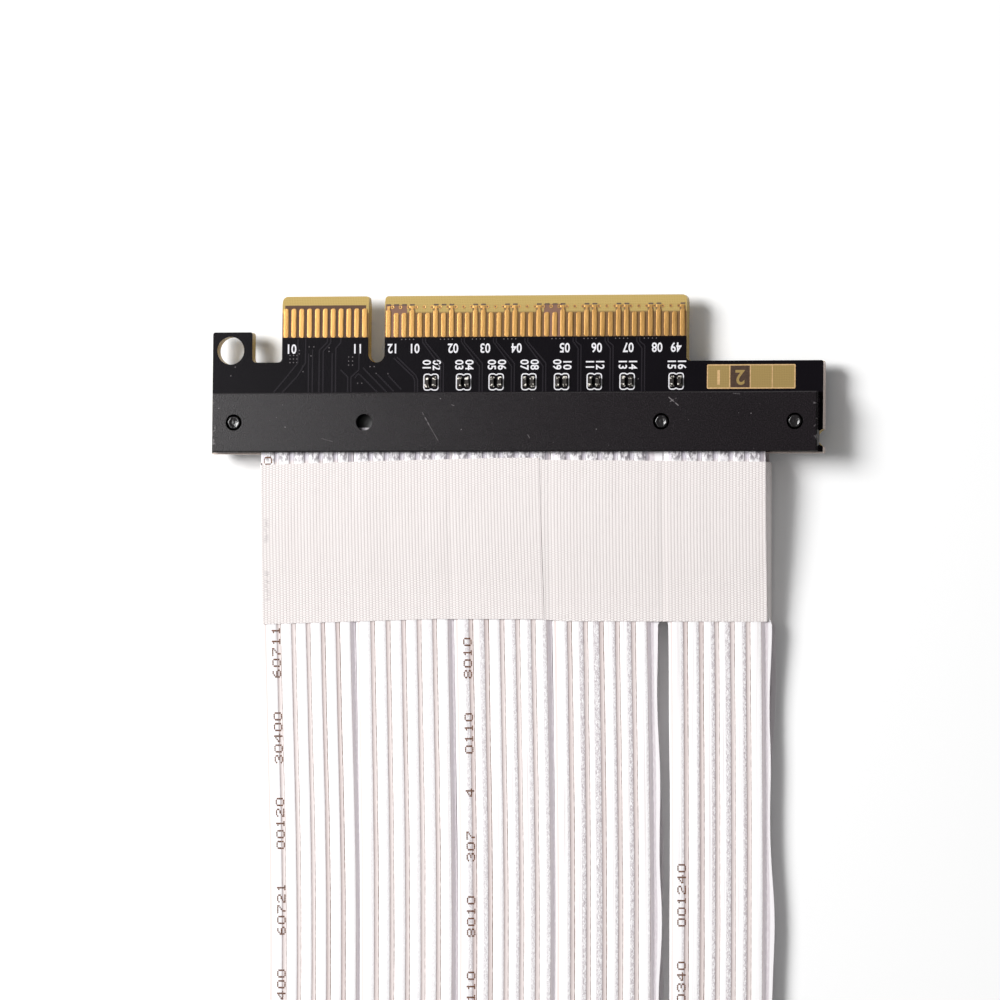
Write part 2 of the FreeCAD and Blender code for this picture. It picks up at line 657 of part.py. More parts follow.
CHANNEL_HEIGHT = "(sizes.slot_height - sizes.slot_standoff - sizes.slot_lip)"
pocket(slot_housing, "channel_pockets", channels, CHANNEL_HEIGHT, upwards=True)
feet = new_sketch(slot_housing, "feet")
for left, right in (
    (HOUSING_LEFT, f"({HOUSING_LEFT} + {SLOT_FOOT})"),
    (f"({HOUSING_RIGHT} - {SLOT_FOOT})", HOUSING_RIGHT),
):
    inset = f"({HALF} - sizes.slot_corner)"
    add_rectangle(feet, left, right, f"-{inset}", inset)
pad(slot_housing, "feet_pad", feet, "sizes.slot_standoff")
place(slot_housing, HOUSING_Y, BOARD_TOP)


def make_slot_contacts(label, side):
    """Spring contacts: a foot on the board and a blade that leans through the channel into the mouth."""
    contacts = new_body(label)
    half = "sizes.contact_thickness / 2"
    profile = [
        ("sizes.foot_reach", "0"),
        (f"sizes.contact_root - {half}", "0"),
        (f"sizes.contact_touch - {half}", "sizes.contact_top"),
        (f"sizes.contact_touch + {half}", "sizes.contact_top"),
        (f"sizes.contact_root + {half}", "sizes.contact_thickness"),
        ("sizes.foot_reach", "sizes.contact_thickness"),
    ]
    for name, x, count in (("first", FIRST_FINGER, FIRST_FINGERS), ("later", LATER_FINGER, LATER_FINGERS)):
        sketch = new_sketch(contacts, f"{name}_outline", "YZ_Plane", offset=x)
        add_outline(sketch, [(f"{side} * ({across})", up) for across, up in profile])
        contact = pad(contacts, f"{name}_contact", sketch, "sizes.contact_width", symmetric=True)
        row_of(contacts, f"{name}_row", contact, "sizes.finger_pitch", count)
    place(contacts, HOUSING_Y, BOARD_TOP)


make_slot_contacts("slot_contacts_near", 1)
make_slot_contacts("slot_contacts_far", -1)

# Every object has to be sound before anything is written.
doc.recompute()
for item in doc.Objects:
    if "Invalid" in item.State or "Error" in item.State:
        raise RuntimeError(f"{item.Label} failed: {item.State}")
pieces = [item for item in doc.Objects if item.TypeId in ("PartDesign::Body", "Part::Feature")]
for piece in pieces:
    if piece.Shape.isNull() or not piece.Shape.isValid():
        raise RuntimeError(f"{piece.Label} has no sound shape")

os.makedirs("parts", exist_ok=True)
for piece in pieces:
    piece.Shape.exportStep(f"parts/{piece.Label}.step")
print(len(pieces), "pieces written")
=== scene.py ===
import math

import bmesh
import bpy
import numpy
from mathutils import Matrix, Vector, noise


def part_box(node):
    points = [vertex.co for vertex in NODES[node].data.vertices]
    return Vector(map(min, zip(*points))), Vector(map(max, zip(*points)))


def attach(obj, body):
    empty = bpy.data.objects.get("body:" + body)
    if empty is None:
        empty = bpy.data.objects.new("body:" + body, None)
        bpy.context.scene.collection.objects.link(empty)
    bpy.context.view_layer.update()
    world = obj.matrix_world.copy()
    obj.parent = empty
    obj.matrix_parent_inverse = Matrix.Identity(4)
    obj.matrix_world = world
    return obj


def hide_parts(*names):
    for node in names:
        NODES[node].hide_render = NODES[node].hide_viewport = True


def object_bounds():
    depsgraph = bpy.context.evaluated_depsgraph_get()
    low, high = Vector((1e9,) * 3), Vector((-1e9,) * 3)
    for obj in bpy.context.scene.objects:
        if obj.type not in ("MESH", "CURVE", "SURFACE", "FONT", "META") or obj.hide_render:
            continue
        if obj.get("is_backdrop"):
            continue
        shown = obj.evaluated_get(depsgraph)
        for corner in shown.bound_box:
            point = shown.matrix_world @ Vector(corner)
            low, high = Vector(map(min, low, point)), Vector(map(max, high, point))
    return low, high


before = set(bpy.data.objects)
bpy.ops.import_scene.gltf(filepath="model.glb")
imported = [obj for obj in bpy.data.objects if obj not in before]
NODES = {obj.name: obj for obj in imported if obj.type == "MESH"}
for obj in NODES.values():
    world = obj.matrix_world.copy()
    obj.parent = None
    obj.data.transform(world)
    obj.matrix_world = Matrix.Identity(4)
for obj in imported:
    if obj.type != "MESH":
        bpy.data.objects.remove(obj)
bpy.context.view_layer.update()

MM = 0.001


# Plug board: a 1.6 mm card of woven glass and resin, routed to the outline of a card-edge plug with a key slot
# and an ear. Black solder mask covers both faces as far as the contacts, and routed walls show the tan core.
board_low, board_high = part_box("plug_board")
BOARD_FACE = board_high.z
BOARD_BACK = board_low.z
TIP = board_high.y
MASK_EDGE = TIP - 5.1 * MM
TONGUE = (-30.2 * MM, 22.0 * MM)
PLANE_TOP = TIP - 1.12 * MM
GAP_DARK_TOP = TIP - 1.9 * MM
NECKS = (TIP - 2.2 * MM, TIP - 1.5 * MM)
LIP = 0.15 * MM
# Where an inner copper plane shows through the bare laminate, in millimetres across, and its colour there.
PLANES = ((-29.25, -18.95, (96, 74, 62)), (-16.45, -13.75, (134, 103, 88)), (3.5, 5.75, (134, 103, 88)))
# The ground contacts, counted from the key, and the place of the first contact after it, in mm. An etched
# collar darkens the laminate round the neck of each of them.
GROUNDS = (1, 4, 7, 9, 12, 13, 16, 17, 20, 23, 26, 27, 30, 31, 34, 35, 38)
LATER_START = -16.1
COLLAR_HALF = 0.4


def paint(red, green, blue):
    """A colour from its three values of 0 to 255, as the nodes want it."""
    linear = []
    for value in (red, green, blue):
        share = value / 255
        linear.append(share / 12.92 if share <= 0.04045 else ((share + 0.055) / 1.055) ** 2.4)
    return (*linear, 1.0)


def feed(socket, value):
    """Links a socket to another one, or sets the value that it holds."""
    if isinstance(value, bpy.types.NodeSocket):
        socket.id_data.links.new(value, socket)
    else:
        socket.default_value = value


def add_node(tree, kind, options=None, **inputs):
    """Adds a node, sets its options and feeds its inputs, whose names have underscores for spaces."""
    node = tree.nodes.new(kind)
    for option, value in (options or {}).items():
        setattr(node, option, value)
    for label, value in inputs.items():
        feed(next(s for s in node.inputs if s.enabled and s.name.replace(" ", "_") == label), value)
    return node


def make(tree, kind, options=None, **inputs):
    """What comes out of a new node, from the first of its outputs that is in use."""
    return next(s for s in add_node(tree, kind, options, **inputs).outputs if s.enabled)


def maths(operation, *values, kind="ShaderNodeMath"):
    """One step of arithmetic on values or sockets, in the tree of the first socket among them."""
    tree = next(value.id_data for value in values if isinstance(value, bpy.types.NodeSocket))
    node = add_node(tree, kind, {"operation": operation})
    for socket, value in zip(node.inputs, values):
        feed(socket, value)
    return next(s for s in node.outputs if s.enabled)


def times(first, *others):
    """The product of two or more values or sockets."""
    for other in others:
        first = maths("MULTIPLY", first, other)
    return first


def from_to(share, low, high):
    """The low value where the share is 0, the high one where it is 1."""
    return maths("MULTIPLY_ADD", share, high - low, low)


def blend(share, first, second):
    """The first colour where the share is 0, the second where it is 1."""
    return make(share.id_data, "ShaderNodeMix", {"data_type": "RGBA"}, Factor=share, A=first, B=second)


def rise(value, low, high):
    """0 below the low value, 1 above the high one, with a smooth step between them."""
    options = {"interpolation_type": "SMOOTHSTEP"}
    return make(value.id_data, "ShaderNodeMapRange", options, Value=value, From_Min=low, From_Max=high)


def band(value, low, high, blur):
    """1 between two values, 0 outside them, blurred at both."""
    return times(rise(value, low - blur, low + blur), rise(value, high + blur, high - blur))


def noise_at(place, scale, detail=2.0, roughness=0.5, distortion=0.0):
    """A cloud-like value about 0.5."""
    return make(
        place.id_data, "ShaderNodeTexNoise",
        Vector=place, Scale=scale, Detail=detail, Roughness=roughness, Distortion=distortion,
    )


def stretch(place, factors):
    """A place with its three directions scaled, so that a pattern on it is drawn out."""
    return make(place.id_data, "ShaderNodeMapping", Vector=place, Scale=factors)


def own_place(tree):
    """The place on the piece, in metres."""
    return add_node(tree, "ShaderNodeTexCoord").outputs["Object"]


def parts_of(vector):
    """The three parts of a vector."""
    return add_node(vector.id_data, "ShaderNodeSeparateXYZ", Vector=vector).outputs


def new_tree(name, kind, inputs, outputs):
    """A node group with named sockets, the sockets that bring inputs in and those that take results out."""
    tree = bpy.data.node_groups.new(name, kind)
    for direction, sockets in (("INPUT", inputs), ("OUTPUT", outputs)):
        for label, sort in sockets:
            tree.interface.new_socket(label, in_out=direction, socket_type="NodeSocket" + sort)
    return tree, tree.nodes.new("NodeGroupInput").outputs, tree.nodes.new("NodeGroupOutput").inputs


def use_group(tree, group, **inputs):
    """The outputs of a shader node group placed in a material with its own values."""
    return add_node(tree, "ShaderNodeGroup", {"node_tree": group}, **inputs).outputs


def new_material(name, **finish):
    """A material with one principled shader, whose plain values are set on the shader's own sockets."""
    material = bpy.data.materials.new(name)
    material.use_nodes = True
    tree = material.node_tree
    shader = tree.nodes["Principled BSDF"].inputs
    for label, value in finish.items():
        shader[label.replace("_", " ")].default_value = value
    return material, tree, shader


def bump(shader, height, distance):
    """Feeds the shader's normal from a height, of which 1 stands for the distance."""
    node = make(height.id_data, "ShaderNodeBump", Height=height, Distance=distance, Strength=1.0)
    feed(shader["Normal"], node)


def dress(node, material):
    """Gives a CAD node a finish."""
    for slot in NODES[node].material_slots:
        slot.material = material


fine_grain, given, result = new_tree(
    "fine_grain", "ShaderNodeTree",
    [("Scale", "Float"), ("Contrast", "Float")],
    [("Grain", "Float"), ("Cloud", "Float")],
)
place = own_place(fine_grain)
speck = noise_at(place, given["Scale"], 1.0, 0.6)
spread = times(maths("SUBTRACT", speck, 0.5), given["Contrast"])
feed(result["Grain"], maths("ADD", spread, 0.5))
feed(result["Cloud"], noise_at(place, 160.0, 3.0, 0.55))

glass_core, given, result = new_tree(
    "glass_core", "ShaderNodeTree",
    [("Pale", "Color"), ("Dark", "Color")],
    [("Colour", "Color"), ("Face", "Float")],
)


def threads(place, direction, distortion):
    """The bands that the glass cloth's threads make in one direction."""
    options = {"bands_direction": direction}
    node = add_node(
        glass_core, "ShaderNodeTexWave", options, Vector=place, Scale=1500.0, Distortion=distortion
    )
    return node.outputs["Fac"]


place = own_place(glass_core)
normal = add_node(glass_core, "ShaderNodeNewGeometry").outputs["Normal"]
upright = maths("ABSOLUTE", parts_of(normal)[2])
cloth = times(threads(place, "X", 2.5), threads(place, "Y", 2.5))
fibres = noise_at(stretch(place, (1.0, 1.0, 6.0)), 3000.0, 3.0)
walls = times(threads(place, "Z", 3.0), fibres)
flat = rise(upright, 0.55, 0.75)
shade = make(glass_core, "ShaderNodeMix", {"data_type": "FLOAT"}, Factor=flat, A=walls, B=cloth)
pattern = times(shade, 0.55)
feed(result["Colour"], blend(pattern, given["Pale"], given["Dark"]))
feed(result["Face"], rise(upright, 0.975, 0.99))

board_black, tree, shader = new_material("board_black", Specular_IOR_Level=0.06)
across, along = parts_of(own_place(tree))[:2]
core = use_group(tree, glass_core, Pale=paint(189, 164, 103), Dark=paint(149, 121, 69))
grain = use_group(tree, fine_grain, Scale=5200.0, Contrast=1.0)
past_mask = rise(along, MASK_EDGE - 0.02 * MM, MASK_EDGE + 0.02 * MM)
bare = times(band(across, *TONGUE, 0.02 * MM), past_mask)
lip = band(along, board_low.y - LIP, board_low.y + 0.9 * LIP, 0.01 * MM)
torn = maths("MAXIMUM", lip, rise(across, board_high.x - 0.05 * MM, board_high.x - 0.02 * MM))
masked = times(maths("SUBTRACT", 1.0, bare), core["Face"], maths("SUBTRACT", 1.0, lip))
black = blend(grain["Cloud"], paint(9, 7, 11), paint(18, 15, 20))
# Below the contacts' tops the bare laminate is darker: partly an inner copper plane seen through the resin,
# partly painted shade in the narrow gaps between the contacts.
gap_shade_and_plane = times(rise(along, GAP_DARK_TOP, GAP_DARK_TOP - 0.3 * MM), core["Face"], 0.85)
tongue = blend(gap_shade_and_plane, core["Colour"], paint(108, 77, 58))
collars = 0.0
for number in GROUNDS:
    x = LATER_START + number - 1
    collar = band(across, (x - COLLAR_HALF) * MM, (x + COLLAR_HALF) * MM, 0.08 * MM)
    collars = maths("MAXIMUM", collars, collar)
collars = times(collars, band(along, *NECKS, 0.08 * MM), core["Face"], 0.7)
tongue = blend(collars, tongue, paint(104, 78, 68))
below = times(rise(along, PLANE_TOP + 0.05 * MM, PLANE_TOP - 0.05 * MM), core["Face"])
for left, right, colour in PLANES:
    plane = times(band(across, left * MM, right * MM, 0.04 * MM), below)
    tongue = blend(plane, tongue, paint(*colour))
rough_glass = blend(grain["Grain"], paint(186, 166, 156), paint(240, 226, 218))
tongue = blend(torn, tongue, rough_glass)
feed(shader["Base Color"], blend(masked, tongue, black))
feed(shader["Roughness"], from_to(grain["Grain"], 0.2, 0.3))
bump(shader, grain["Grain"], 0.008 * MM)
dress("plug_board", board_black)


# Edge contacts: hard gold on copper pads, eleven before the key and thirty-eight after it on each face. Ground
# contacts reach further and end in a cross bar, where the plating bars were cut away when the card was made.
CONTACT_PITCH = 1.0 * MM
CONTACT_WIDTH = 0.62
CONTACT_HEIGHT = 0.06
CONTACT_SINK = 0.004
FIRST_ROW = [-29.1 * MM + i * CONTACT_PITCH for i in range(11)]
LATER_ROW = [LATER_START * MM + i * CONTACT_PITCH for i in range(38)]
STUBBED_SIGNALS = (2, 3, 8, 21, 22)
FIRST_TOP = TIP - 1.52 * MM
SIGNAL_TOP = TIP - 2.1 * MM
GROUND_TOP = TIP - 1.76 * MM
CROSS_BAR = TIP - 1.4 * MM
CUT_STUB = TIP - 1.11 * MM

pad_tree, given, result = new_tree(
    "rounded_pads", "GeometryNodeTree",
    [
        ("Geometry", "Geometry"), ("Width", "Float"), ("Length", "Float"), ("Height", "Float"),
        ("Corner", "Float"), ("Corner Steps", "Int"), ("Finish", "Material"),
    ],
    [("Geometry", "Geometry")],
)


def rounded_curve(curve, steps, radius):
    """A curve of straight runs with its corners rounded, where there is room."""
    return make(
        curve.id_data, "GeometryNodeFilletCurve", {"mode": "POLY"},
        Curve=curve, Count=steps, Radius=radius, Limit_Radius=True,
    )


def end_tree(tree, made, finish, result):
    """Ends a geometry tree with plain meshes in their finish."""
    real = make(tree, "GeometryNodeRealizeInstances", Geometry=made)
    feed(result["Geometry"], make(tree, "GeometryNodeSetMaterial", Geometry=real, Material=finish))


outline = make(
    pad_tree, "GeometryNodeCurvePrimitiveQuadrilateral", Width=given["Width"], Height=given["Length"]
)
rounded = rounded_curve(outline, given["Corner Steps"], given["Corner"])
plate = make(pad_tree, "GeometryNodeFillCurve", {"mode": "NGONS"}, Curve=rounded)
lift = make(pad_tree, "ShaderNodeCombineXYZ", Z=given["Height"])
raised = make(pad_tree, "GeometryNodeExtrudeMesh", Mesh=plate, Offset=lift, Individual=False)
both = add_node(pad_tree, "GeometryNodeJoinGeometry")
for part in (raised, make(pad_tree, "GeometryNodeFlipFaces", Mesh=plate)):
    feed(both.inputs["Geometry"], part)
pad = make(pad_tree, "GeometryNodeMergeByDistance", Geometry=both.outputs["Geometry"], Distance=0.001 * MM)
rows = make(pad_tree, "GeometryNodeInstanceOnPoints", Points=given["Geometry"], Instance=pad)
end_tree(pad_tree, rows, given["Finish"], result)


def show(thing):
    """Puts an object into the scene."""
    bpy.context.scene.collection.objects.link(thing)


def run_tree(tree, name, points, edges=(), **values):
    """The plain mesh that a geometry tree makes from points, or from runs of points joined by edges."""
    source = bpy.data.meshes.new(name)
    source.from_pydata(points, edges, [])
    maker = bpy.data.objects.new(name, source)
    show(maker)
    step = maker.modifiers.new("maker", "NODES")
    step.node_group = tree
    for item in tree.interface.items_tree:
        label = item.name.replace(" ", "_")
        if item.in_out == "INPUT" and label in values:
            step[item.identifier] = values[label]
    depsgraph = bpy.context.evaluated_depsgraph_get()
    mesh = bpy.data.meshes.new_from_object(maker.evaluated_get(depsgraph), depsgraph=depsgraph)
    bpy.data.objects.remove(maker)
    return mesh


def pads(name, points, finish, width, length, height, corner, steps=1):
    """Flat pads with rounded corners, of one size in millimetres, that stand on points in metres."""
    return run_tree(
        pad_tree, name, points, Finish=finish, Corner_Steps=steps,
        Width=width * MM, Length=length * MM, Height=height * MM, Corner=corner * MM,
    )


def add_piece(name, meshes, replaced=()):
    """One piece from one or more plain meshes, riding on the cable, with the CAD nodes that it stands for."""
    whole = bpy.data.meshes.new(name)
    finishes = []
    builder = bmesh.new()
    for mesh in meshes:
        first_face = len(builder.faces)
        builder.from_mesh(mesh)
        builder.faces.ensure_lookup_table()
        for face in builder.faces[first_face:]:
            finish = mesh.materials[face.material_index]
            if finish not in finishes:
                finishes.append(finish)
            face.material_index = finishes.index(finish)
    builder.to_mesh(whole)
    builder.free()
    for finish in finishes:
        whole.materials.append(finish)
    piece = bpy.data.objects.new(name, whole)
    show(piece)
    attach(piece, "root")
    if replaced:
        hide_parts(*replaced)
    return piece


def grained(name, scale, contrast, dark, pale, shade="Grain", relief=0.0, rough=None, **finish):
    """A material speckled between two colours, with relief in millimetres and uneven roughness if given."""
    material, tree, shader = new_material(name, **finish)
    grain = use_group(tree, fine_grain, Scale=scale, Contrast=contrast)
    feed(shader["Base Color"], blend(grain[shade], paint(*dark), paint(*pale)))
    if relief:
        bump(shader, grain["Grain"], relief * MM)
    if rough:
        pattern, low, high = rough
        feed(shader["Roughness"], from_to(grain[pattern], low, high))
    return material


gold, tree, shader = new_material("contact_gold", Metallic=1.0, Specular_IOR_Level=0.5)
place = own_place(tree)
grain = use_group(tree, fine_grain, Scale=4200.0, Contrast=1.2)
drawn = noise_at(stretch(place, (1.0, 0.04, 1.0)), 9000.0)
feed(shader["Base Color"], blend(drawn, paint(156, 114, 60), paint(194, 153, 96)))
feed(shader["Roughness"], from_to(drawn, 0.26, 0.42))
pitches = maths("DIVIDE", maths("SUBTRACT", parts_of(place)[0], FIRST_ROW[0]), CONTACT_PITCH)
off_middle = maths("SUBTRACT", maths("FRACT", maths("ADD", pitches, 0.5)), 0.5)
from_middle = maths("MINIMUM", maths("ABSOLUTE", off_middle), 0.33)
pillow = times(from_middle, from_middle, from_middle, from_middle, -46.0)
bump(shader, maths("ADD", pillow, times(grain["Grain"], 0.3)), 0.02 * MM)
cut_copper = grained(
    "cut_copper", 6000.0, 1.0, (78, 62, 54), (118, 98, 86), Roughness=0.6, Specular_IOR_Level=0.2
)

ground_row = [LATER_ROW[number - 1] for number in GROUNDS]
signal_row = [x for number, x in enumerate(LATER_ROW, 1) if number not in GROUNDS]
stub_row = ground_row + [LATER_ROW[number - 1] for number in STUBBED_SIGNALS]
bead_row = [x + 0.5 * CONTACT_PITCH for x in LATER_ROW[:-1]]
# Each kind of pad: its places across, its middle along the board, width and length, its height as a share of
# a contact's, its corners and its finish. The bars at the row's two ends stop short of the board's edges.
copper_work = []
for seats, top in ((FIRST_ROW, FIRST_TOP), (signal_row, SIGNAL_TOP), (ground_row, GROUND_TOP)):
    length = (top - MASK_EDGE) / MM
    copper_work.append(("contacts", seats, (top + MASK_EDGE) / 2, CONTACT_WIDTH, length, 1.0, 0.24, gold))
neck = (CROSS_BAR - GROUND_TOP) / MM + 0.2
copper_work += [
    ("necks", ground_row, (GROUND_TOP + CROSS_BAR) / 2, 0.32, neck, 0.9, 0.02, gold),
    ("cross_bars", ground_row[1:-1], CROSS_BAR, 1.17, 0.25, 0.95, 0.12, gold),
    ("first_bar", [ground_row[0] + 0.27 * MM], CROSS_BAR, 0.6, 0.25, 0.95, 0.12, gold),
    ("last_bar", [ground_row[-1] - 0.15 * MM], CROSS_BAR, 0.86, 0.25, 0.95, 0.12, gold),
    ("beads", bead_row, CROSS_BAR, 0.42, 0.42, 1.0, 0.2, gold),
    # The bead holes are not cut: a flat disc in the cut copper's dark colour on each bead is painted shade for
    # its hole.
    ("bead_holes", bead_row, CROSS_BAR, 0.19, 0.19, 1.08, 0.09, cut_copper),
    ("cut_stubs", stub_row, CUT_STUB, 0.6, 0.19, 0.4, 0.04, cut_copper),
]
for side, face, outward in (("front", BOARD_FACE, 1), ("rear", BOARD_BACK, -1)):
    meshes = []
    for name, seats, row, width, length, tall, corner, finish in copper_work:
        height = tall * CONTACT_HEIGHT
        foot = face - CONTACT_SINK * MM if outward > 0 else face + (CONTACT_SINK - height) * MM
        meshes.append(pads(name, [(x, row, foot) for x in seats], finish, width, length, height, corner, 4))
    add_piece(f"edge_contacts_{side}", meshes, [f"plug_contacts_{side}"])


# Traces and vias: copper lines under the solder mask, which follows them as fine ridges. Signal pairs run from
# the contacts down to the soldered ribbons, and small plated holes join them to the inner planes.
TRACE_WIDTH = 0.16
TRACE_HEIGHT = 0.05
TRACE_TOP = 90.4
TRACE_FOOT = 83.8
PAIR_GAP = 0.36
LANES = (-12.8, -7.9, -3.86, 0.1, 6.15, 10.17, 14.13, 17.73)
# The lines beside the key, each as points across and along, in millimetres.
TRACES = [
    [(-27.57, TRACE_TOP), (-27.57, 87.45), (-28.82, 85.92), (-30.63, TRACE_FOOT)],
    [(-26.59, TRACE_TOP), (-26.59, 87.45), (-27.62, 85.79), (-29.52, TRACE_FOOT)],
    [(-26.2, 88.6), (-26.2, TRACE_FOOT)],
    [(-25.7, 89.1), (-25.7, TRACE_FOOT)],
    [(-23.82, 90.5), (-23.82, 90.0), (-24.85, 88.99), (-24.85, TRACE_FOOT)],
    [(-23.40, 90.5), (-23.40, 89.9), (-24.35, 88.90), (-24.35, TRACE_FOOT)],
    [(-23.2, 88.6), (-23.2, TRACE_FOOT)],
    [(-22.13, 90.5), (-22.13, 89.93), (-22.75, 89.24), (-22.75, TRACE_FOOT)],
    [(-22.13, 86.56), (-21.2, 85.66), (-21.2, TRACE_FOOT)],
    [(-19.8, 89.3), (-19.8, 86.56), (-20.8, 85.66), (-20.8, TRACE_FOOT)],
    [(-20.3, 85.5), (-19.93, 86.2), (-17.47, TRACE_FOOT)],
    [(-19.28, 86.8), (-16.3, TRACE_FOOT)],
    [(-17.47, 86.0), (-15.4, 83.9)],
    [(-16.04, 85.8), (-14.4, 84.1)],
    [(-15.4, 88.0), (-12.95, 85.7), (-12.7, 85.2), (-12.7, TRACE_FOOT)],
    [(-15.0, 88.1), (-12.6, 85.85), (-12.35, 85.3), (-12.35, TRACE_FOOT)],
]
for lane in LANES[:7]:
    aside = 2.3 if lane < 3.0 else 0.65
    for beside in (0.0, PAIR_GAP):
        start = lane + 1.05 + beside
        bend = TRACE_TOP - 0.5
        foot = (start + aside, bend - 1.3 * aside + beside)
        TRACES.append([(start, TRACE_TOP), (start, bend), foot, (start + aside, TRACE_FOOT)])

path_tree, given, result = new_tree(
    "raised_path", "GeometryNodeTree",
    [
        ("Geometry", "Geometry"), ("Width", "Float"), ("Height", "Float"), ("Bend", "Float"),
        ("Bend Steps", "Int"), ("Finish", "Material"),
    ],
    [("Geometry", "Geometry")],
)
centre_line = make(path_tree, "GeometryNodeMeshToCurve", Mesh=given["Geometry"])
eased = rounded_curve(centre_line, given["Bend Steps"], given["Bend"])
level = make(path_tree, "GeometryNodeSetCurveNormal", {"mode": "Z_UP"}, Curve=eased)
section = make(
    path_tree, "GeometryNodeCurvePrimitiveQuadrilateral", Width=given["Width"], Height=given["Height"]
)
swept = make(path_tree, "GeometryNodeCurveToMesh", Curve=level, Profile_Curve=section, Fill_Caps=True)
flat = make(path_tree, "GeometryNodeSetShadeSmooth", Geometry=swept, Shade_Smooth=False)
end_tree(path_tree, flat, given["Finish"], result)


def run_paths(name, paths, level, finish, width, height, bend=0.0, steps=1, closed=False):
    """Raised lines along runs of points, in millimetres, at one level in metres, with rounded bends."""
    points = []
    edges = []
    for path in paths:
        first = len(points)
        points += [(x * MM, y * MM, level) for x, y in path]
        edges += [(i, i + 1) for i in range(first, len(points) - 1)]
        if closed:
            edges.append((len(points) - 1, first))
    return run_tree(
        path_tree, name, points, edges, Finish=finish,
        Width=width * MM, Height=height * MM, Bend=bend * MM, Bend_Steps=steps,
    )


def seat_rows(columns, rows, middle, pitch):
    """Points of a small grid, in millimetres."""
    return [
        (middle[0] + (i - (columns - 1) / 2) * pitch, middle[1] + (j - (rows - 1) / 2) * pitch)
        for i in range(columns)
        for j in range(rows)
    ]


trace_mask = grained(
    "mask_over_copper", 5200.0, 1.0, (24, 21, 26), (40, 36, 42), "Cloud", Specular_IOR_Level=0.1, Roughness=0.3
)
via_tin = grained(
    "via_rim", 6000.0, 1.4, (58, 53, 58), (120, 114, 116), Specular_IOR_Level=0.3, Roughness=0.35
)
VIAS = seat_rows(3, 3, (-28.13, 87.93), 0.44) + seat_rows(2, 3, (-20.86, 87.64), 0.5)
VIAS += [
    (-27.39, 88.99), (-27.39, 88.55), (-26.15, 89.42), (-25.55, 89.42), (-25.9, 88.3), (-26.9, 87.02),
    (-26.9, 86.35), (-23.61, 89.3), (-23.61, 88.85), (-19.93, 84.9), (-19.41, 84.9), (-18.38, 86.94),
    (-17.86, 86.94), (-17.6, 86.1), (-16.1, 86.05), (-35.55, 86.94), (-36.1, 85.87),
    (16.2, 86.9), (15.4, 85.3),
]
for lane in LANES:
    VIAS += [(lane - 1.6 + 0.5 * k, 90.28) for k in range(4)]
lines = run_paths("traces", TRACES, BOARD_FACE, trace_mask, TRACE_WIDTH, TRACE_HEIGHT, 0.25, 2)
rims = pads(
    "vias", [(x * MM, y * MM, BOARD_FACE - 0.01 * MM) for x, y in VIAS], via_tin, 0.17, 0.17, 0.03, 0.08
)
add_piece("board_traces", [lines, rims])


# Printing and chip frames: white ink screened on the mask, in upside-down numbers for the contacts, upright
# ones for the chips, and a notched frame round each pair of chips.
INK_HEIGHT = 0.02
INK_LEVEL = BOARD_FACE + 0.4 * INK_HEIGHT * MM
PIN_NUMBER_ROW = 89.22
CHIP_NUMBER_ROW = 87.1
CHIP_FRAMES = [-10.64 + 4.11 * i for i in range(7)] + [20.14]
CHIP_ROW = 85.0
# The corners of a chip frame with its two notches, from its middle.
FRAME_OUTLINE = [
    (-0.9, -0.98), (-0.22, -0.98), (0.0, -0.78), (0.22, -0.98), (0.9, -0.98),
    (0.9, 0.98), (0.22, 0.98), (0.0, 0.78), (-0.22, 0.98), (-0.9, 0.98),
]


def number_mesh(words, size, squeeze, spot, turn, level, finish):
    """Plain numbers as a thin closed plate, centred on a spot given in millimetres and turned in degrees."""
    curve = bpy.data.curves.new("number", "FONT")
    curve.body = words
    curve.size = size * MM
    curve.offset = 0.018 * size * MM
    curve.extrude = 0.5 * INK_HEIGHT * MM
    curve.resolution_u = 3
    curve.align_x = "CENTER"
    curve.align_y = "CENTER"
    shape = bpy.data.objects.new("number", curve)
    mesh = bpy.data.meshes.new_from_object(shape)
    bpy.data.objects.remove(shape)
    bpy.data.curves.remove(curve)
    place = Matrix.Translation((spot[0] * MM, spot[1] * MM, level))
    turned = Matrix.Rotation(math.radians(turn), 4, "Z")
    mesh.transform(place @ turned @ Matrix.Diagonal((squeeze, 1.0, 1.0, 1.0)))
    mesh.materials.clear()
    mesh.materials.append(finish)
    return mesh


ink = grained(
    "white_ink", 9000.0, 1.8, (206, 204, 210), (246, 245, 248), Roughness=0.6, Specular_IOR_Level=0.3
)
prints = []
labels = [("01", -28.43), ("11", -19.99), ("12", -15.52), ("49", 20.09)]
labels += [(f"{number:02d}", across) for number, across in enumerate(LANES, 1)]
for words, across in labels:
    prints.append(number_mesh(words, 1.62, 0.84, (across, PIN_NUMBER_ROW), 180.0, INK_LEVEL, ink))
frames = []
for number, across in enumerate(CHIP_FRAMES):
    for beside, first in ((-0.62, 1), (0.66, 2)):
        spot = (across + beside, CHIP_NUMBER_ROW)
        prints.append(number_mesh(f"{2 * number + first:02d}", 1.45, 0.9, spot, -90.0, INK_LEVEL, ink))
    frames.append([(across + x, CHIP_ROW + y) for x, y in FRAME_OUTLINE])
prints.append(run_paths("chip_frames", frames, INK_LEVEL, ink, 0.145, INK_HEIGHT, 0.3, 3, closed=True))
add_piece("board_printing", prints)


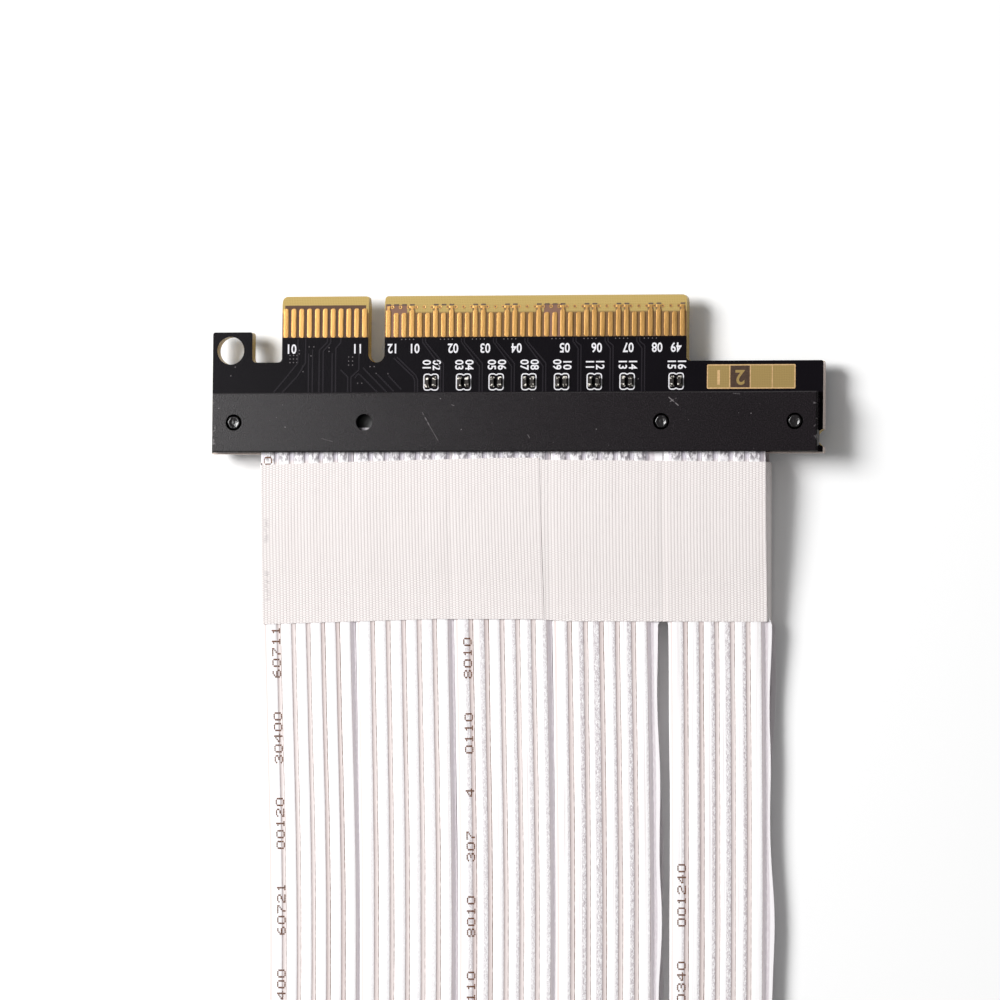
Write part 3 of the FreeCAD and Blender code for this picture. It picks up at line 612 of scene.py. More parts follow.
# Layer window: four bare boxes at the right of the board, framed in copper, in which the copper layers show
# through the resin. Two hold a plain number etched in their own layer.
WINDOW_LOW = 84.12
WINDOW_HIGH = 86.95
WINDOW_MIDDLE = (WINDOW_LOW + WINDOW_HIGH) / 2
WINDOW_LINES = (24.05, 26.82, 29.37, 32.10, 34.9)
resin, tree, shader = new_material("window_resin", Roughness=0.35, Specular_IOR_Level=0.4)
core = use_group(tree, glass_core, Pale=paint(158, 132, 74), Dark=paint(116, 92, 40))
feed(shader["Base Color"], core["Colour"])
copper = grained("etched_copper", 5000.0, 1.4, (176, 140, 92), (212, 178, 130), Roughness=0.42, Metallic=0.6)
deep = grained("deep_layer", 5000.0, 1.4, (60, 44, 35), (84, 64, 50), Roughness=0.4, Specular_IOR_Level=0.15)
window = []
for box, (left, right) in enumerate(zip(WINDOW_LINES, WINDOW_LINES[1:])):
    seat = ((left + right) / 2 * MM, WINDOW_MIDDLE * MM, BOARD_FACE - 0.02 * MM)
    ground = deep if box == 1 else resin
    window.append(pads("window_box", [seat], ground, right - left, WINDOW_HIGH - WINDOW_LOW, 0.03, 0.01))
left, right = WINDOW_LINES[0], WINDOW_LINES[-1]
edge = [(left, WINDOW_LOW), (right, WINDOW_LOW), (right, WINDOW_HIGH), (left, WINDOW_HIGH)]
window.append(run_paths(
    "window_edge", [edge], BOARD_FACE + 0.015 * MM, copper, 0.16, 0.03, 0.05, closed=True
))
bars = [[(x, WINDOW_LOW), (x, WINDOW_HIGH)] for x in WINDOW_LINES[1:-1]]
window.append(run_paths("window_bars", bars, BOARD_FACE + 0.014 * MM, copper, 0.13, 0.03))
for words, left, right, finish in zip("12", WINDOW_LINES, WINDOW_LINES[1:], (copper, resin)):
    spot = ((left + right) / 2, WINDOW_MIDDLE)
    window.append(number_mesh(words, 2.5, 1.0, spot, 180.0, BOARD_FACE + 0.012 * MM, finish))
add_piece("layer_window", window)


# Coupling capacitors: sixteen ceramic chips in the lanes of the contacts, with tinned ends, soldered in
# pairs inside the printed frames, each end in a small fillet of solder.
CHIP_GAP = 0.475
chip_height = (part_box("coupling_capacitors")[1].z - BOARD_FACE) / MM
ceramic = grained(
    "chip_ceramic", 5000.0, 1.4, (22, 18, 16), (44, 37, 33), Roughness=0.45, Specular_IOR_Level=0.3
)
solder, tree, shader = new_material("bright_solder", Metallic=1.0)
grain = use_group(tree, fine_grain, Scale=2600.0, Contrast=1.4)
patches = rise(grain["Grain"], 0.46, 0.66)
feed(shader["Base Color"], blend(patches, paint(58, 54, 51), paint(222, 217, 208)))
feed(shader["Roughness"], from_to(grain["Grain"], 0.2, 0.4))
bump(shader, grain["Grain"], 0.02 * MM)
chips = [(across + side * CHIP_GAP) * MM for across in CHIP_FRAMES for side in (-1, 1)]


def chip_seats(*offsets):
    """The places of one piece of every chip, at offsets along the board from the chips' row."""
    return [(x, (CHIP_ROW + offset) * MM, BOARD_FACE) for x in chips for offset in offsets]


bodies = pads("chip_bodies", chip_seats(0.0), ceramic, 0.46, 0.62, chip_height - 0.02, 0.03)
caps = pads("chip_ends", chip_seats(-0.38, 0.38), solder, 0.5, 0.2, chip_height, 0.06, 2)
fillets = pads("chip_feet", chip_seats(-0.52, 0.52), solder, 0.5, 0.26, 0.1, 0.1, 2)
add_piece("chip_row", [bodies, caps, fillets], ["coupling_capacitors"])


# Ribbons: five flat cables in each of two layers. Each has six foil-wrapped pairs, side by side and sealed
# between two white films that are drawn down between them; the ends are stripped and soldered to the boards.
RIDGES = 6
RIBBON_HALF = 0.475 * MM
WEB_HALF = 0.40 * MM
FILM_TOP = 0.30 * MM
LEFT_RIM = 0.14 * MM
LEFT_BASE = 0.05 * MM
RIGHT_RIM = 0.27 * MM
RIGHT_BASE = 0.17 * MM
RIBBON_LENGTH = 156.1 * MM
UV_STEP = 10.0
# The points of the section over one pair and beside the outer pairs, as shares of a pair's width.
PAIR_SHARES = (0.0, 0.14, 0.155, 0.18, 0.22, 0.28, 0.38, 0.50, 0.62, 0.72, 0.78, 0.82, 0.845, 0.86)
FILM_SHARES = (0.05, 0.09)
# The route's points along the cable, with the heights of the front and the rear layer, in millimetres.
ROUTE = (
    (79.35, 3.775, 1.225), (70.35, 3.775, 1.225), (52.35, 1.53, 0.53), (18.35, 1.53, 0.53),
    (-15.65, 1.53, 0.53), (-49.65, 1.53, 0.53), (-67.65, 3.775, 1.225), (-76.65, 3.775, 1.225),
)
# How far the middle of the cable leans to one side at those points, as a share of each ribbon's own lean.
LEAN = (0.0, 0.0, 0.0, 1.0, 0.8, 0.1, 0.0, 0.0)
# Where each ribbon's film starts, its pairs start and end, and its film ends, and how far it leans.
RIBBONS = (
    (-31.95, -31.75, -20.50, -20.20, 1.25),
    (-20.16, -19.88, -8.10, -7.73, 0.95),
    (-7.76, -7.46, 4.32, 4.62, 0.95),
    (4.64, 4.92, 16.90, 17.80, 0.80),
    (19.20, 19.46, 31.14, 32.00, 0.45),
)
# How far the film's two edges are shifted where the tape holds them, for the ribbons at which that shows.
HELD_EDGES = {4: (0.0, 0.88), 5: (-0.52, -0.55)}
# The middle of the cable, and how far from it the tape begins to hold, holds, still holds and holds no more.
CABLE_MIDDLE = 1.35
TAPE_HOLD = (53.9, 55.5, 75.9, 77.0)
EDGE_WAVE = 2.4 * MM


def read_line(name, points):
    """The points of a smooth line, read from a NURBS spline with the given control points."""
    curve = bpy.data.curves.new(name, "CURVE")
    curve.dimensions = "3D"
    curve.resolution_u = 16
    spline = curve.splines.new("NURBS")
    spline.points.add(len(points) - 1)
    for control, point in zip(spline.points, points):
        control.co = (*point, 1.0)
    spline.order_u = 3
    spline.use_endpoint_u = True
    line = bpy.data.objects.new(name, curve)
    mesh = bpy.data.meshes.new_from_object(line)
    found = [vertex.co.copy() for vertex in mesh.vertices]
    bpy.data.objects.remove(line)
    bpy.data.curves.remove(curve)
    bpy.data.meshes.remove(mesh)
    return found


def ridge_height(share):
    """The film's height over one pair, from the web at its foot to the crown and down again."""
    reach = min(1.0, abs(share - 0.5) / 0.36)
    return WEB_HALF + (RIBBON_HALF - WEB_HALF) * (1.0 - reach ** 5.0) ** 0.8


def held_share(along):
    """1 where the tape holds the ribbons, 0 over their free length and inside the covers."""
    return numpy.interp(abs(along / MM - CABLE_MIDDLE), TAPE_HOLD, (0.0, 1.0, 1.0, 0.0))


def tube_faces(rings, count):
    """The faces of a tube of rings of points, with a cap at each end."""
    faces = []
    for ring in range(rings - 1):
        for k in range(count):
            near = ring * count + k
            beside = ring * count + (k + 1) % count
            faces.append((near, beside, beside + count, near + count))
    faces.append(tuple(reversed(range(count))))
    faces.append(tuple(range((rings - 1) * count, rings * count)))
    return faces


def keep_map(mesh, label, marks):
    """Keeps a pair of values for each point of a mesh as its UV map."""
    layer = mesh.uv_layers.new(name=label)
    for loop in mesh.loops:
        layer.data[loop.index].uv = marks[loop.vertex_index]


def read_map(tree, label):
    """The place on a piece's UV map, and its parts."""
    marks = make(tree, "ShaderNodeUVMap", {"uv_map": label})
    return marks, parts_of(marks)


def chance(number):
    """A random value of 0 to 1 that stays the same for the same number."""
    return make(number.id_data, "ShaderNodeTexWhiteNoise", {"noise_dimensions": "1D"}, W=number)


def finish_mesh(mesh, finish):
    """Turns a mesh's faces outward, keeps the edges of its flat faces sharp and gives it a finish."""
    builder = bmesh.new()
    builder.from_mesh(mesh)
    bmesh.ops.recalc_face_normals(builder, faces=builder.faces)
    for face in builder.faces:
        if not face.smooth:
            for edge in face.edges:
                edge.smooth = False
    builder.to_mesh(mesh)
    builder.free()
    mesh.materials.append(finish)
    return mesh


def ribbon_section(film_start, pairs_start, pairs_end, film_end):
    """The upper half of a ribbon's section: place across, height, and the pair that the place belongs to."""
    pitch = (pairs_end - pairs_start) / RIDGES
    half = [(film_start, LEFT_RIM, (film_start - pairs_start) / pitch)]
    half += [(pairs_start - share * pitch, FILM_TOP, -share) for share in reversed(FILM_SHARES)]
    for ridge in range(RIDGES):
        for share in PAIR_SHARES:
            half.append((pairs_start + (ridge + share) * pitch, ridge_height(share), ridge + share))
    half.append((pairs_end, WEB_HALF, RIDGES))
    half += [(pairs_end + share * pitch, FILM_TOP, RIDGES + share) for share in FILM_SHARES]
    half.append((film_end, RIGHT_RIM, (film_end - pairs_start) / pitch))
    return half


def build_ribbon(name, line, centre, half, number, seed, finish):
    """A closed ribbon swept along its line, with the pair and the length along it kept as its UV map."""
    section = list(half)
    for across, height, pair in reversed(half):
        if pair < -0.001:
            section.append((across, LEFT_BASE, pair))
        elif pair > RIDGES + 0.001:
            section.append((across, RIGHT_BASE, pair))
        else:
            section.append((across, -height, pair))
    held_start, held_end = HELD_EDGES.get(number, (0.0, 0.0))
    count = len(section)
    points = []
    marks = []
    length = 0.0
    for step, spot in enumerate(line):
        if step:
            length += (spot - line[step - 1]).length
        ahead = (line[min(step + 1, len(line) - 1)] - line[max(step - 1, 0)]).normalized()
        upward = Vector((1.0, 0.0, 0.0)).cross(ahead)
        upward = upward if upward.z > 0 else -upward
        held = held_share(spot.y)
        for across, height, pair in section:
            wave = 0.0
            if pair < -0.1 or pair > RIDGES + 0.1:
                loose = (abs(pair - 3.0) - 2.95) ** 2 * (1.0 - held)
                wave = EDGE_WAVE * noise.noise((length * 75.0, pair, seed)) * loose
                wave += (held_start if pair < 0.0 else held_end) * MM * held
            points.append(spot + Vector((across - centre + wave, 0.0, 0.0)) + upward * height)
            marks.append((UV_STEP * number + 1.0 + pair, length / MM))
    mesh = bpy.data.meshes.new(name)
    mesh.from_pydata(points, [], tube_faces(len(line), count))
    keep_map(mesh, "across_and_along", marks)
    rims = (len(half) - 1, count - 1)
    mesh.polygons.foreach_set("use_smooth", [k % count not in rims for k in range(len(mesh.polygons))])
    return finish_mesh(mesh, finish)


film, tree, shader = new_material(
    "ribbon_film", Specular_IOR_Level=0.5, Coat_Weight=0.4, Coat_Roughness=0.15, Roughness=0.35
)
marks, (pair_mark, length_mark, _) = read_map(tree, "across_and_along")
ribbon_number = maths("FLOOR", maths("DIVIDE", pair_mark, UV_STEP))
pair_place = maths("SUBTRACT", maths("MODULO", pair_mark, UV_STEP), 1.0)
share = maths("FRACT", pair_mark)
inside = band(pair_place, 0.0, RIDGES, 0.02)
ridge_chance = chance(maths("FLOOR", pair_mark))
valley = maths("ROUND", pair_mark)
valley_chance = chance(maths("ADD", valley, 0.5))
streak = noise_at(stretch(marks, (9.0, 0.12, 1.0)), 1.4, 3.0)
nicked = rise(noise_at(stretch(marks, (12.0, 1.4, 1.0)), 1.0), 0.32, 0.6)
uneven = maths("ADD", times(streak, 0.9), times(nicked, 0.5))

# The valley between two pairs has a fill, a fine line at its left and a stronger one at its right. The fill
# and the left line are partly painted shade in the crease; the lines' brown is the film's own colour where it
# is drawn down between the pairs.
waver = noise_at(stretch(marks, (2.0, 0.09, 1.0)), 1.0)
drift = from_to(waver, -0.03, 0.03)
off_valley = maths("ADD", maths("SUBTRACT", pair_mark, valley), drift)
line_left = times(band(off_valley, -0.172, -0.122, 0.018), uneven)
strong = times(uneven, from_to(valley_chance, 0.7, 1.3), rise(pair_place, 0.2, 0.9))
line_right = times(band(off_valley, 0.075, 0.13, 0.018), strong)
between = band(off_valley, -0.17, 0.15, 0.02)
faint = from_to(valley_chance, 0.4, 1.0)
fill = blend(faint, paint(242, 233, 231), paint(220, 206, 203))
web = blend(between, paint(252, 250, 251), fill)
web = blend(line_left, web, paint(188, 170, 172))
web = blend(line_right, web, paint(94, 68, 60))
hairs = rise(noise_at(stretch(marks, (26.0, 0.03, 1.0)), 1.0, 1.0), 0.57, 0.68)
drawn = from_to(rise(ribbon_number, 1.0, 4.5), 0.2, 0.6)
web = blend(times(hairs, drawn), web, paint(206, 190, 188))

# The film's margin is white, with a greyer band at the foot of the last pair: painted shade that the pair
# casts on the margin, with the foil faintly seen through the film.
margin = blend(streak, paint(244, 239, 242), paint(255, 253, 254))
white = blend(inside, margin, web)
behind = maths("SUBTRACT", pair_place, float(RIDGES))
foot = times(rise(behind, -0.17, -0.13), rise(behind, 0.27, 0.19))
foot = times(foot, from_to(nicked, 0.7, 1.0))
shaded = blend(streak, paint(204, 194, 200), paint(228, 219, 224))
lined = blend(foot, white, shaded)

# The wrapped foil shows through the film on the right flank of some pairs, most of all on the last ribbons.
# Its mottled grey is partly painted shade: it lies on the flank turned away from the lamps, and grows on the
# ribbons furthest from them.
mottle = noise_at(stretch(marks, (16.0, 2.4, 1.0)), 1.0, 5.0, 0.7, 1.2)
start = maths("ADD", share, times(ridge_chance, 0.3))
right_flank = times(rise(start, 0.68, 0.8), rise(share, 0.86, 0.8))
flank_shade_share = times(rise(ribbon_number, 1.0, 4.2), rise(ridge_chance, -0.1, 0.4))
flank_shade_share = from_to(flank_shade_share, 0.06, 0.91)
foil_and_flank_shade = times(right_flank, flank_shade_share, rise(mottle, 0.42, 0.58), inside)
with_flank_shade = blend(foil_and_flank_shade, lined, paint(184, 173, 178))

# The stripped ends beside the covers are bare, creased foil. Its light patches are painted glints, its darker
# grey is partly painted shade under the covers' edge, and the dark lines at the pairs' feet are painted shade
# in the creases.
from_end = maths("MINIMUM", length_mark, maths("SUBTRACT", RIBBON_LENGTH / MM, length_mark))
stripped = rise(from_end, 4.6, 3.6)
crease_glints = noise_at(stretch(marks, (2.6, 0.7, 1.0)), 1.7, 3.0, 0.6)
silver = blend(rise(crease_glints, 0.4, 0.58), paint(134, 128, 134), paint(236, 232, 235))
silver = blend(between, silver, paint(204, 198, 207))
silver = blend(maths("MAXIMUM", line_left, line_right), silver, paint(118, 111, 121))
feed(shader["Base Color"], blend(times(stripped, inside), with_flank_shade, silver))
bump(shader, maths("ADD", mottle, streak), 0.016 * MM)

ribbon_lines = {}
ribbon_halves = {}
for layer_index, layer_name in ((1, "front"), (2, "rear")):
    for number, (*edges, lean) in enumerate(RIBBONS, 1):
        name = f"{layer_name}_ribbon_{number}"
        low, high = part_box(name)
        centre = (low.x + high.x) / 2
        route = [
            (centre + lean * MM * aside, point[0] * MM, point[layer_index] * MM)
            for aside, point in zip(LEAN, ROUTE)
        ]
        line = read_line(name, route)
        half = ribbon_section(*[place * MM for place in edges])
        ribbon_lines[name] = line
        ribbon_halves[name] = [(across - centre, height) for across, height, _ in half]
        mesh = build_ribbon(name, line, centre, half, number, number + 10.0 * layer_index, film)
        ribbon = add_piece(f"flat_cable_{layer_name}_{number}", [mesh], [name])


# Printed marks: brown dot-matrix numbers, sprayed in solvent ink along three of the ribbons as they are made.
# Each dot is a small flat drop on the film.
# Each digit has seven rows of five places, with a 1 where there is a dot.
DIGITS = {
    "0": "01110 10001 10001 10001 10001 10001 01110",
    "1": "00100 01100 00100 00100 00100 00100 01110",
    "2": "01110 10001 00001 00110 01000 10000 11111",
    "3": "01110 10001 00001 00110 00001 10001 01110",
    "4": "00010 00110 01010 10010 11111 00010 00010",
    "5": "11111 10000 11110 00001 00001 10001 01110",
    "6": "00110 01000 10000 11110 10001 10001 01110",
    "7": "11111 00001 00010 00100 01000 01000 01000",
    "8": "01110 10001 10001 01110 10001 10001 01110",
    "9": "01110 10001 10001 01111 00001 00010 01100",
    " ": "",
}
DIGIT_PITCH = 1.32
DOT_ALONG = 0.205
DOT_ACROSS = 0.15
DOT_SINK = 0.06
# The ribbon, the pair under the middle of the line, where the line ends along the cable, and its numbers.
MARKS = (
    (1, 0.40, 76.2, "0"),
    (1, 0.78, 55.3, "60741   00120   30400   60731   00120   30400   60721   00120   30400   60711"),
    (3, 0.74, 54.0, "8010   307   4   0110   8010   307   4   0110   8010   307   4   0110   8010"),
    (5, 0.66, 26.5, "0340   001240"),
    (5, 0.66, -22.5, "0341   001240"),
)
brown = grained(
    "brown_marking_ink", 7000.0, 1.8, (70, 44, 32), (138, 94, 68), Roughness=0.6, Specular_IOR_Level=0.2
)
dots = []
for number, pair, end, words in MARKS:
    name = f"front_ribbon_{number}"
    pairs_start, pairs_end = RIBBONS[number - 1][1:3]
    low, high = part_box(name)
    offset = (pairs_start + pair * (pairs_end - pairs_start) / RIDGES) * MM - (low.x + high.x) / 2
    middles, runs, levels = zip(*reversed(ribbon_lines[name]))
    offsets, heights = zip(*ribbon_halves[name])
    for place_in_line, digit in enumerate(words):
        for row, dashes in enumerate(DIGITS[digit].split()):
            for column, dash in enumerate(dashes):
                if dash == "0":
                    continue
                along = (end - (len(words) - place_in_line) * DIGIT_PITCH + column * DOT_ALONG) * MM
                across = offset + (row - 3) * DOT_ACROSS * MM
                top = numpy.interp(along, runs, levels) + numpy.interp(across, offsets, heights)
                dots.append((numpy.interp(along, runs, middles) + across, along, top - DOT_SINK * MM))
add_piece("ribbon_markings", [pads("marking_dots", dots, brown, 0.17, 0.235, 0.075, 0.07)])


# Tapes: a strip of white woven cloth tape wound once round all ten ribbons beside each cover and stuck down on
# itself. Its ribs lie along the cable, and the outer end makes one straight step across the upper side.
TAPE_THICK = 0.05 * MM
TAPE_LEFT = -31.88 * MM
TAPE_RIGHT = 31.5 * MM
TAPE_SIDE = 0.24 * MM
TAPE_ROWS = 24
TAPE_SLACK = 0.05 * MM
RIB_PITCH = 0.405 * MM
RIB_HEIGHT = 0.008 * MM
RIB_STEPS = 5
SIDE_RIBS = 9
INNER_END = -5.5 * MM
SEAM_FOOT = 3.74 * MM
SEAM_LEAN = -0.022
# Where the cloth dips between two ribbons, in millimetres across, and how far.
DIPS = ((-20.2, 0.025), (-7.8, 0.03), (4.6, 0.03), (18.7, 0.05))
# Where the first ribbon's numbers show faintly through the cloth, along the cable and across it.
HIDDEN_PRINT = ((65.2, 68.3), (58.1, 61.7))
HIDDEN_WIDTH = (-31.55 * MM, -30.95 * MM)


def share_of(value, low, high):
    """How far a value has come from a low one to a high one, from 0 to 1."""
    return min(1.0, max(0.0, (value - low) / (high - low)))


def tape_path():
    """The strip's line round the ribbons, step by step: side, place across, slant of its face, and pass."""
    step = RIB_PITCH / RIB_STEPS
    path = [("top", INNER_END + i * step, 0.0, 0) for i in range(round((TAPE_RIGHT - INNER_END) / step))]
    turn = SIDE_RIBS * RIB_STEPS
    path += [("edge", TAPE_RIGHT, 0.5 * math.pi - math.pi * i / turn, 0) for i in range(turn)]
    path += [("base", TAPE_RIGHT - i * step, 0.0, 0) for i in range(round((TAPE_RIGHT - TAPE_LEFT) / step))]
    path += [("edge", TAPE_LEFT, -0.5 * math.pi - math.pi * i / turn, 0) for i in range(turn)]
    path += [("top", TAPE_LEFT + i * step, 0.0, 1) for i in range(round((SEAM_FOOT - TAPE_LEFT) / step) + 1)]
    return path


def edge_shares(across, turn_pass):
    """How far the strip's two long edges wander from straight, both in millimetres, at a place across."""
    if turn_pass:
        upper = -0.58 + 0.84 * share_of(across, -32.0, -1.0) ** 0.8
        lower = -0.19 + 0.72 * share_of(across, -32.0, -10.0)
    else:
        upper = 0.02 - 0.29 * share_of(across, 3.0, 32.0) - 0.3 * share_of(across, 3.0, -32.0)
        lower = 0.30 + 0.32 * share_of(across, 6.5, 1.5)
    return upper, lower


def build_tape(name, low_edge, high_edge, turned, finish):
    """One closed strip of tape, with the length along it and the place across it kept as its UV map."""
    front = list(zip(*sorted((point.y, point.z) for point in ribbon_lines["front_ribbon_3"])))
    rear = list(zip(*sorted((point.y, point.z) for point in ribbon_lines["rear_ribbon_3"])))
    path = tape_path()
    outer = []
    inner = []
    marks = []
    for k, (side, across, slant, turn_pass) in enumerate(path):
        upper, lower = edge_shares(across / MM, turn_pass)
        if turned:
            upper, lower = -lower, -upper
        rib = RIB_HEIGHT * (0.5 + 0.5 * math.cos(2.0 * math.pi * k / RIB_STEPS)) ** 0.6
        over = share_of(across, INNER_END - 6.0 * MM, INNER_END) if turn_pass and side == "top" else 0.0
        lift = (TAPE_THICK + 0.004 * MM) * over * over * (3.0 - 2.0 * over)
        dip = sum(depth * math.exp(-(((across / MM - valley) / 0.5) ** 2)) for valley, depth in DIPS) * MM
        for row in range(TAPE_ROWS + 1):
            share = row / TAPE_ROWS
            along = low_edge + lower * MM + share * (high_edge - low_edge + (upper - lower) * MM)
            crown = numpy.interp(along, *front) + RIBBON_HALF + 0.03 * MM
            bed = numpy.interp(along, *rear) - RIBBON_HALF - 0.01 * MM
            if side == "top":
                slack = TAPE_SLACK * noise.noise((across * 220.0, along * 90.0, 3.0 + turn_pass)) - dip
                seam_share = (across - TAPE_LEFT) / (SEAM_FOOT - TAPE_LEFT)
                lean = turn_pass * SEAM_LEAN * (along - low_edge) * seam_share
                spot = Vector((across + lean, along, crown + min(0.0, slack) + lift))
                face = Vector((0.0, 0.0, 1.0))
            elif side == "base":
                spot = Vector((across, along, bed))
                face = Vector((0.0, 0.0, -1.0))
            else:
                middle = (crown + bed) / 2
                half = (crown - bed) / 2
                spot = Vector((across + TAPE_SIDE * math.cos(slant), along, middle + half * math.sin(slant)))
                face = Vector((half * math.cos(slant), 0.0, TAPE_SIDE * math.sin(slant))).normalized()
            outer.append(spot + face * (TAPE_THICK - RIB_HEIGHT + rib))
            inner.append(spot)
            marks.append((k / RIB_STEPS, along / MM))
    rows = TAPE_ROWS + 1
    total = len(path) * rows
    faces = []
    for k in range(len(path) - 1):
        for a in range(k * rows, k * rows + TAPE_ROWS):
            faces.append((a, a + rows, a + rows + 1, a + 1))
            faces.append((total + a, total + a + 1, total + a + rows + 1, total + a + rows))
        for a in (k * rows, k * rows + TAPE_ROWS):
            faces.append((a, a + rows, total + a + rows, total + a))
    for row in range(TAPE_ROWS):
        for a in (row, total - rows + row):
            faces.append((a, a + 1, total + a + 1, total + a))
    mesh = bpy.data.meshes.new(name)
    mesh.from_pydata(outer + inner, [], faces)
    keep_map(mesh, "ribs_and_rows", marks + marks)
    for face in mesh.polygons:
        face.use_smooth = max(face.vertices) < total or min(face.vertices) >= total
    return finish_mesh(mesh, finish)


cloth, tree, shader = new_material("woven_tape", Roughness=0.75, Specular_IOR_Level=0.25, Sheen_Weight=0.15)
marks, (rib_mark, row_mark, _) = read_map(tree, "ribs_and_rows")
past_groove = maths("ADD", rib_mark, 0.5)
from_crown = maths("ABSOLUTE", maths("SUBTRACT", maths("FRACT", past_groove), 0.5))
groove = rise(from_crown, 0.2, 0.46)
shifted = times(maths("FLOOR", past_groove), 0.5)
thread = maths("FRACT", maths("ADD", times(row_mark, 3.49), shifted))
stitch = maths("ABSOLUTE", maths("SUBTRACT", thread, 0.5))
# The grooves between the ribs are painted darker as painted shade; the dots where the threads cross are the
# weave's own, and are painted darker still down in the grooves, as painted shade.
deeper = from_to(rise(from_crown, 0.05, 0.35), 0.65, 1.0)
crossing = times(rise(stitch, 0.08, 0.42), deeper)
fuzz = noise_at(stretch(marks, (1.0, 0.6, 1.0)), 2.2, 3.0, 0.6)
slub = noise_at(stretch(marks, (0.35, 0.02, 1.0)), 1.0)
pale = blend(slub, paint(240, 234, 232), paint(250, 245, 243))
shaded = blend(times(groove, 0.46), pale, paint(212, 200, 199))
dotted = blend(times(crossing, 0.52), shaded, paint(172, 160, 160))
place = own_place(tree)
across, along = parts_of(place)[:2]
hidden = 0.0
for first, last in HIDDEN_PRINT:
    hidden = maths("MAXIMUM", hidden, band(along, first * MM, last * MM, 0.1 * MM))
strokes = rise(noise_at(stretch(place, (0.6, 1.0, 1.0)), 2600.0), 0.38, 0.6)
hidden = times(hidden, band(across, *HIDDEN_WIDTH, 0.12 * MM), strokes, 0.3)
dotted = blend(hidden, dotted, paint(150, 142, 146))
feed(shader["Base Color"], blend(times(fuzz, 0.12), dotted, paint(255, 250, 246)))
weave = maths("SUBTRACT", maths("SUBTRACT", 1.0, groove), times(crossing, 0.6))
bump(shader, maths("ADD", weave, times(fuzz, 0.3)), 0.008 * MM)
for end in ("plug", "socket"):
    low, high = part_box(f"{end}_tape")
    strip = build_tape(f"{end}_tape", low.y, high.y, end == "socket", cloth)
    tape = add_piece(f"wound_tape_{end}", [strip], [f"{end}_tape"])


# Covers: four glass-filled nylon mouldings, clamped in pairs over the soldered ends. One cover's posts pass
# beside the ribbons, and between two of them, into the holes of the other, where heat presses their tips.
COVER_STACK = 5.0
# The scratches on the plug's front cover, from point to point in millimetres, with their width and strength.
SCRATCHES = (
    ((-11.28, 81.14), (-10.44, 79.64), 0.08, 0.4), ((-10.44, 79.64), (-9.23, 77.63), 0.06, 0.25),
    ((19.58, 82.95), (20.78, 81.94), 0.08, 0.5), ((19.77, 82.42), (20.5, 82.81), 0.07, 0.45),
    ((2.0, 78.4), (2.25, 78.0), 0.06, 0.3), ((-24.0, 78.0), (-22.6, 77.6), 0.05, 0.15),
    ((27.6, 83.4), (28.4, 83.3), 0.06, 0.3), ((-7.6, 82.1), (-7.3, 82.0), 0.06, 0.3),
)
hair_scratch, given, result = new_tree(
    "hair_scratch", "ShaderNodeTree",
    [("From", "Vector"), ("To", "Vector"), ("Width", "Float")],
    [("Mask", "Float")],
)


def vector_maths(operation, *values):
    """One step of arithmetic on vectors."""
    return maths(operation, *values, kind="ShaderNodeVectorMath")


def clamp(value):
    """A value kept between 0 and 1."""
    return make(value.id_data, "ShaderNodeClamp", Value=value)


place = own_place(hair_scratch)
from_start = vector_maths("SUBTRACT", place, given["From"])
whole = vector_maths("SUBTRACT", given["To"], given["From"])
along_whole = vector_maths("DOT_PRODUCT", from_start, whole)
reached = maths("DIVIDE", along_whole, vector_maths("DOT_PRODUCT", whole, whole))
nearest = vector_maths("MULTIPLY", whole, clamp(reached))
away = vector_maths("DISTANCE", from_start, nearest)
near = maths("SUBTRACT", 1.0, maths("DIVIDE", away, given["Width"]))
broken = rise(noise_at(place, 1800.0), 0.3, 0.55)
feed(result["Mask"], times(clamp(near), broken))

cover_black, tree, shader = new_material("cover_black", Specular_IOR_Level=0.32)
place = own_place(tree)
grain = use_group(tree, fine_grain, Scale=6800.0, Contrast=2.4)
speckled = blend(grain["Grain"], paint(3, 2, 3), paint(33, 26, 31))
worn = 0.0
for *ends, width, strength in SCRATCHES:
    start, stop = [(x * MM, y * MM, COVER_STACK * MM) for x, y in ends]
    mask = use_group(tree, hair_scratch, From=start, To=stop, Width=width * MM)["Mask"]
    worn = maths("MAXIMUM", worn, times(mask, strength))
at_ends = rise(maths("ABSOLUTE", parts_of(place)[0]), 37.2 * MM, 37.9 * MM)
rubbed = times(at_ends, rise(noise_at(place, 1300.0), 0.62, 0.72), 0.3)
dust = times(rise(noise_at(place, 2600.0, 0.0), 0.87, 0.9), 0.3)
worn = maths("MAXIMUM", maths("MAXIMUM", worn, rubbed), dust)
feed(shader["Base Color"], blend(worn, speckled, paint(188, 182, 184)))
feed(shader["Roughness"], from_to(grain["Cloud"], 0.185, 0.225))
bump(shader, grain["Grain"], 0.005 * MM)
for cover in ("plug_front_cover", "plug_rear_cover", "socket_front_cover", "socket_rear_cover"):
    dress(cover, cover_black)


# Post tips and the open hole: the posts' ends are pressed to a dished, slightly six-sided head that shines.
# The hole that stays without a post is closed below its rim by a dished black fill that keeps it dark.
POSTS = (-35.24, 18.66, 35.24)
OPEN_HOLE = -18.66
TIP_RINGS = ((0.79, 4.50), (0.80, 4.80), (0.73, 4.90), (0.62, 4.925), (0.52, 4.89), (0.26, 4.865))
FILL_RINGS = ((1.0, 3.4), (1.0, 3.85), (0.86, 3.79), (0.6, 3.75), (0.3, 3.73))
# The rows of holes at the plug and at the socket, whose covers are turned over.
POST_ROWS = ((80.0, False), (-77.3, True))


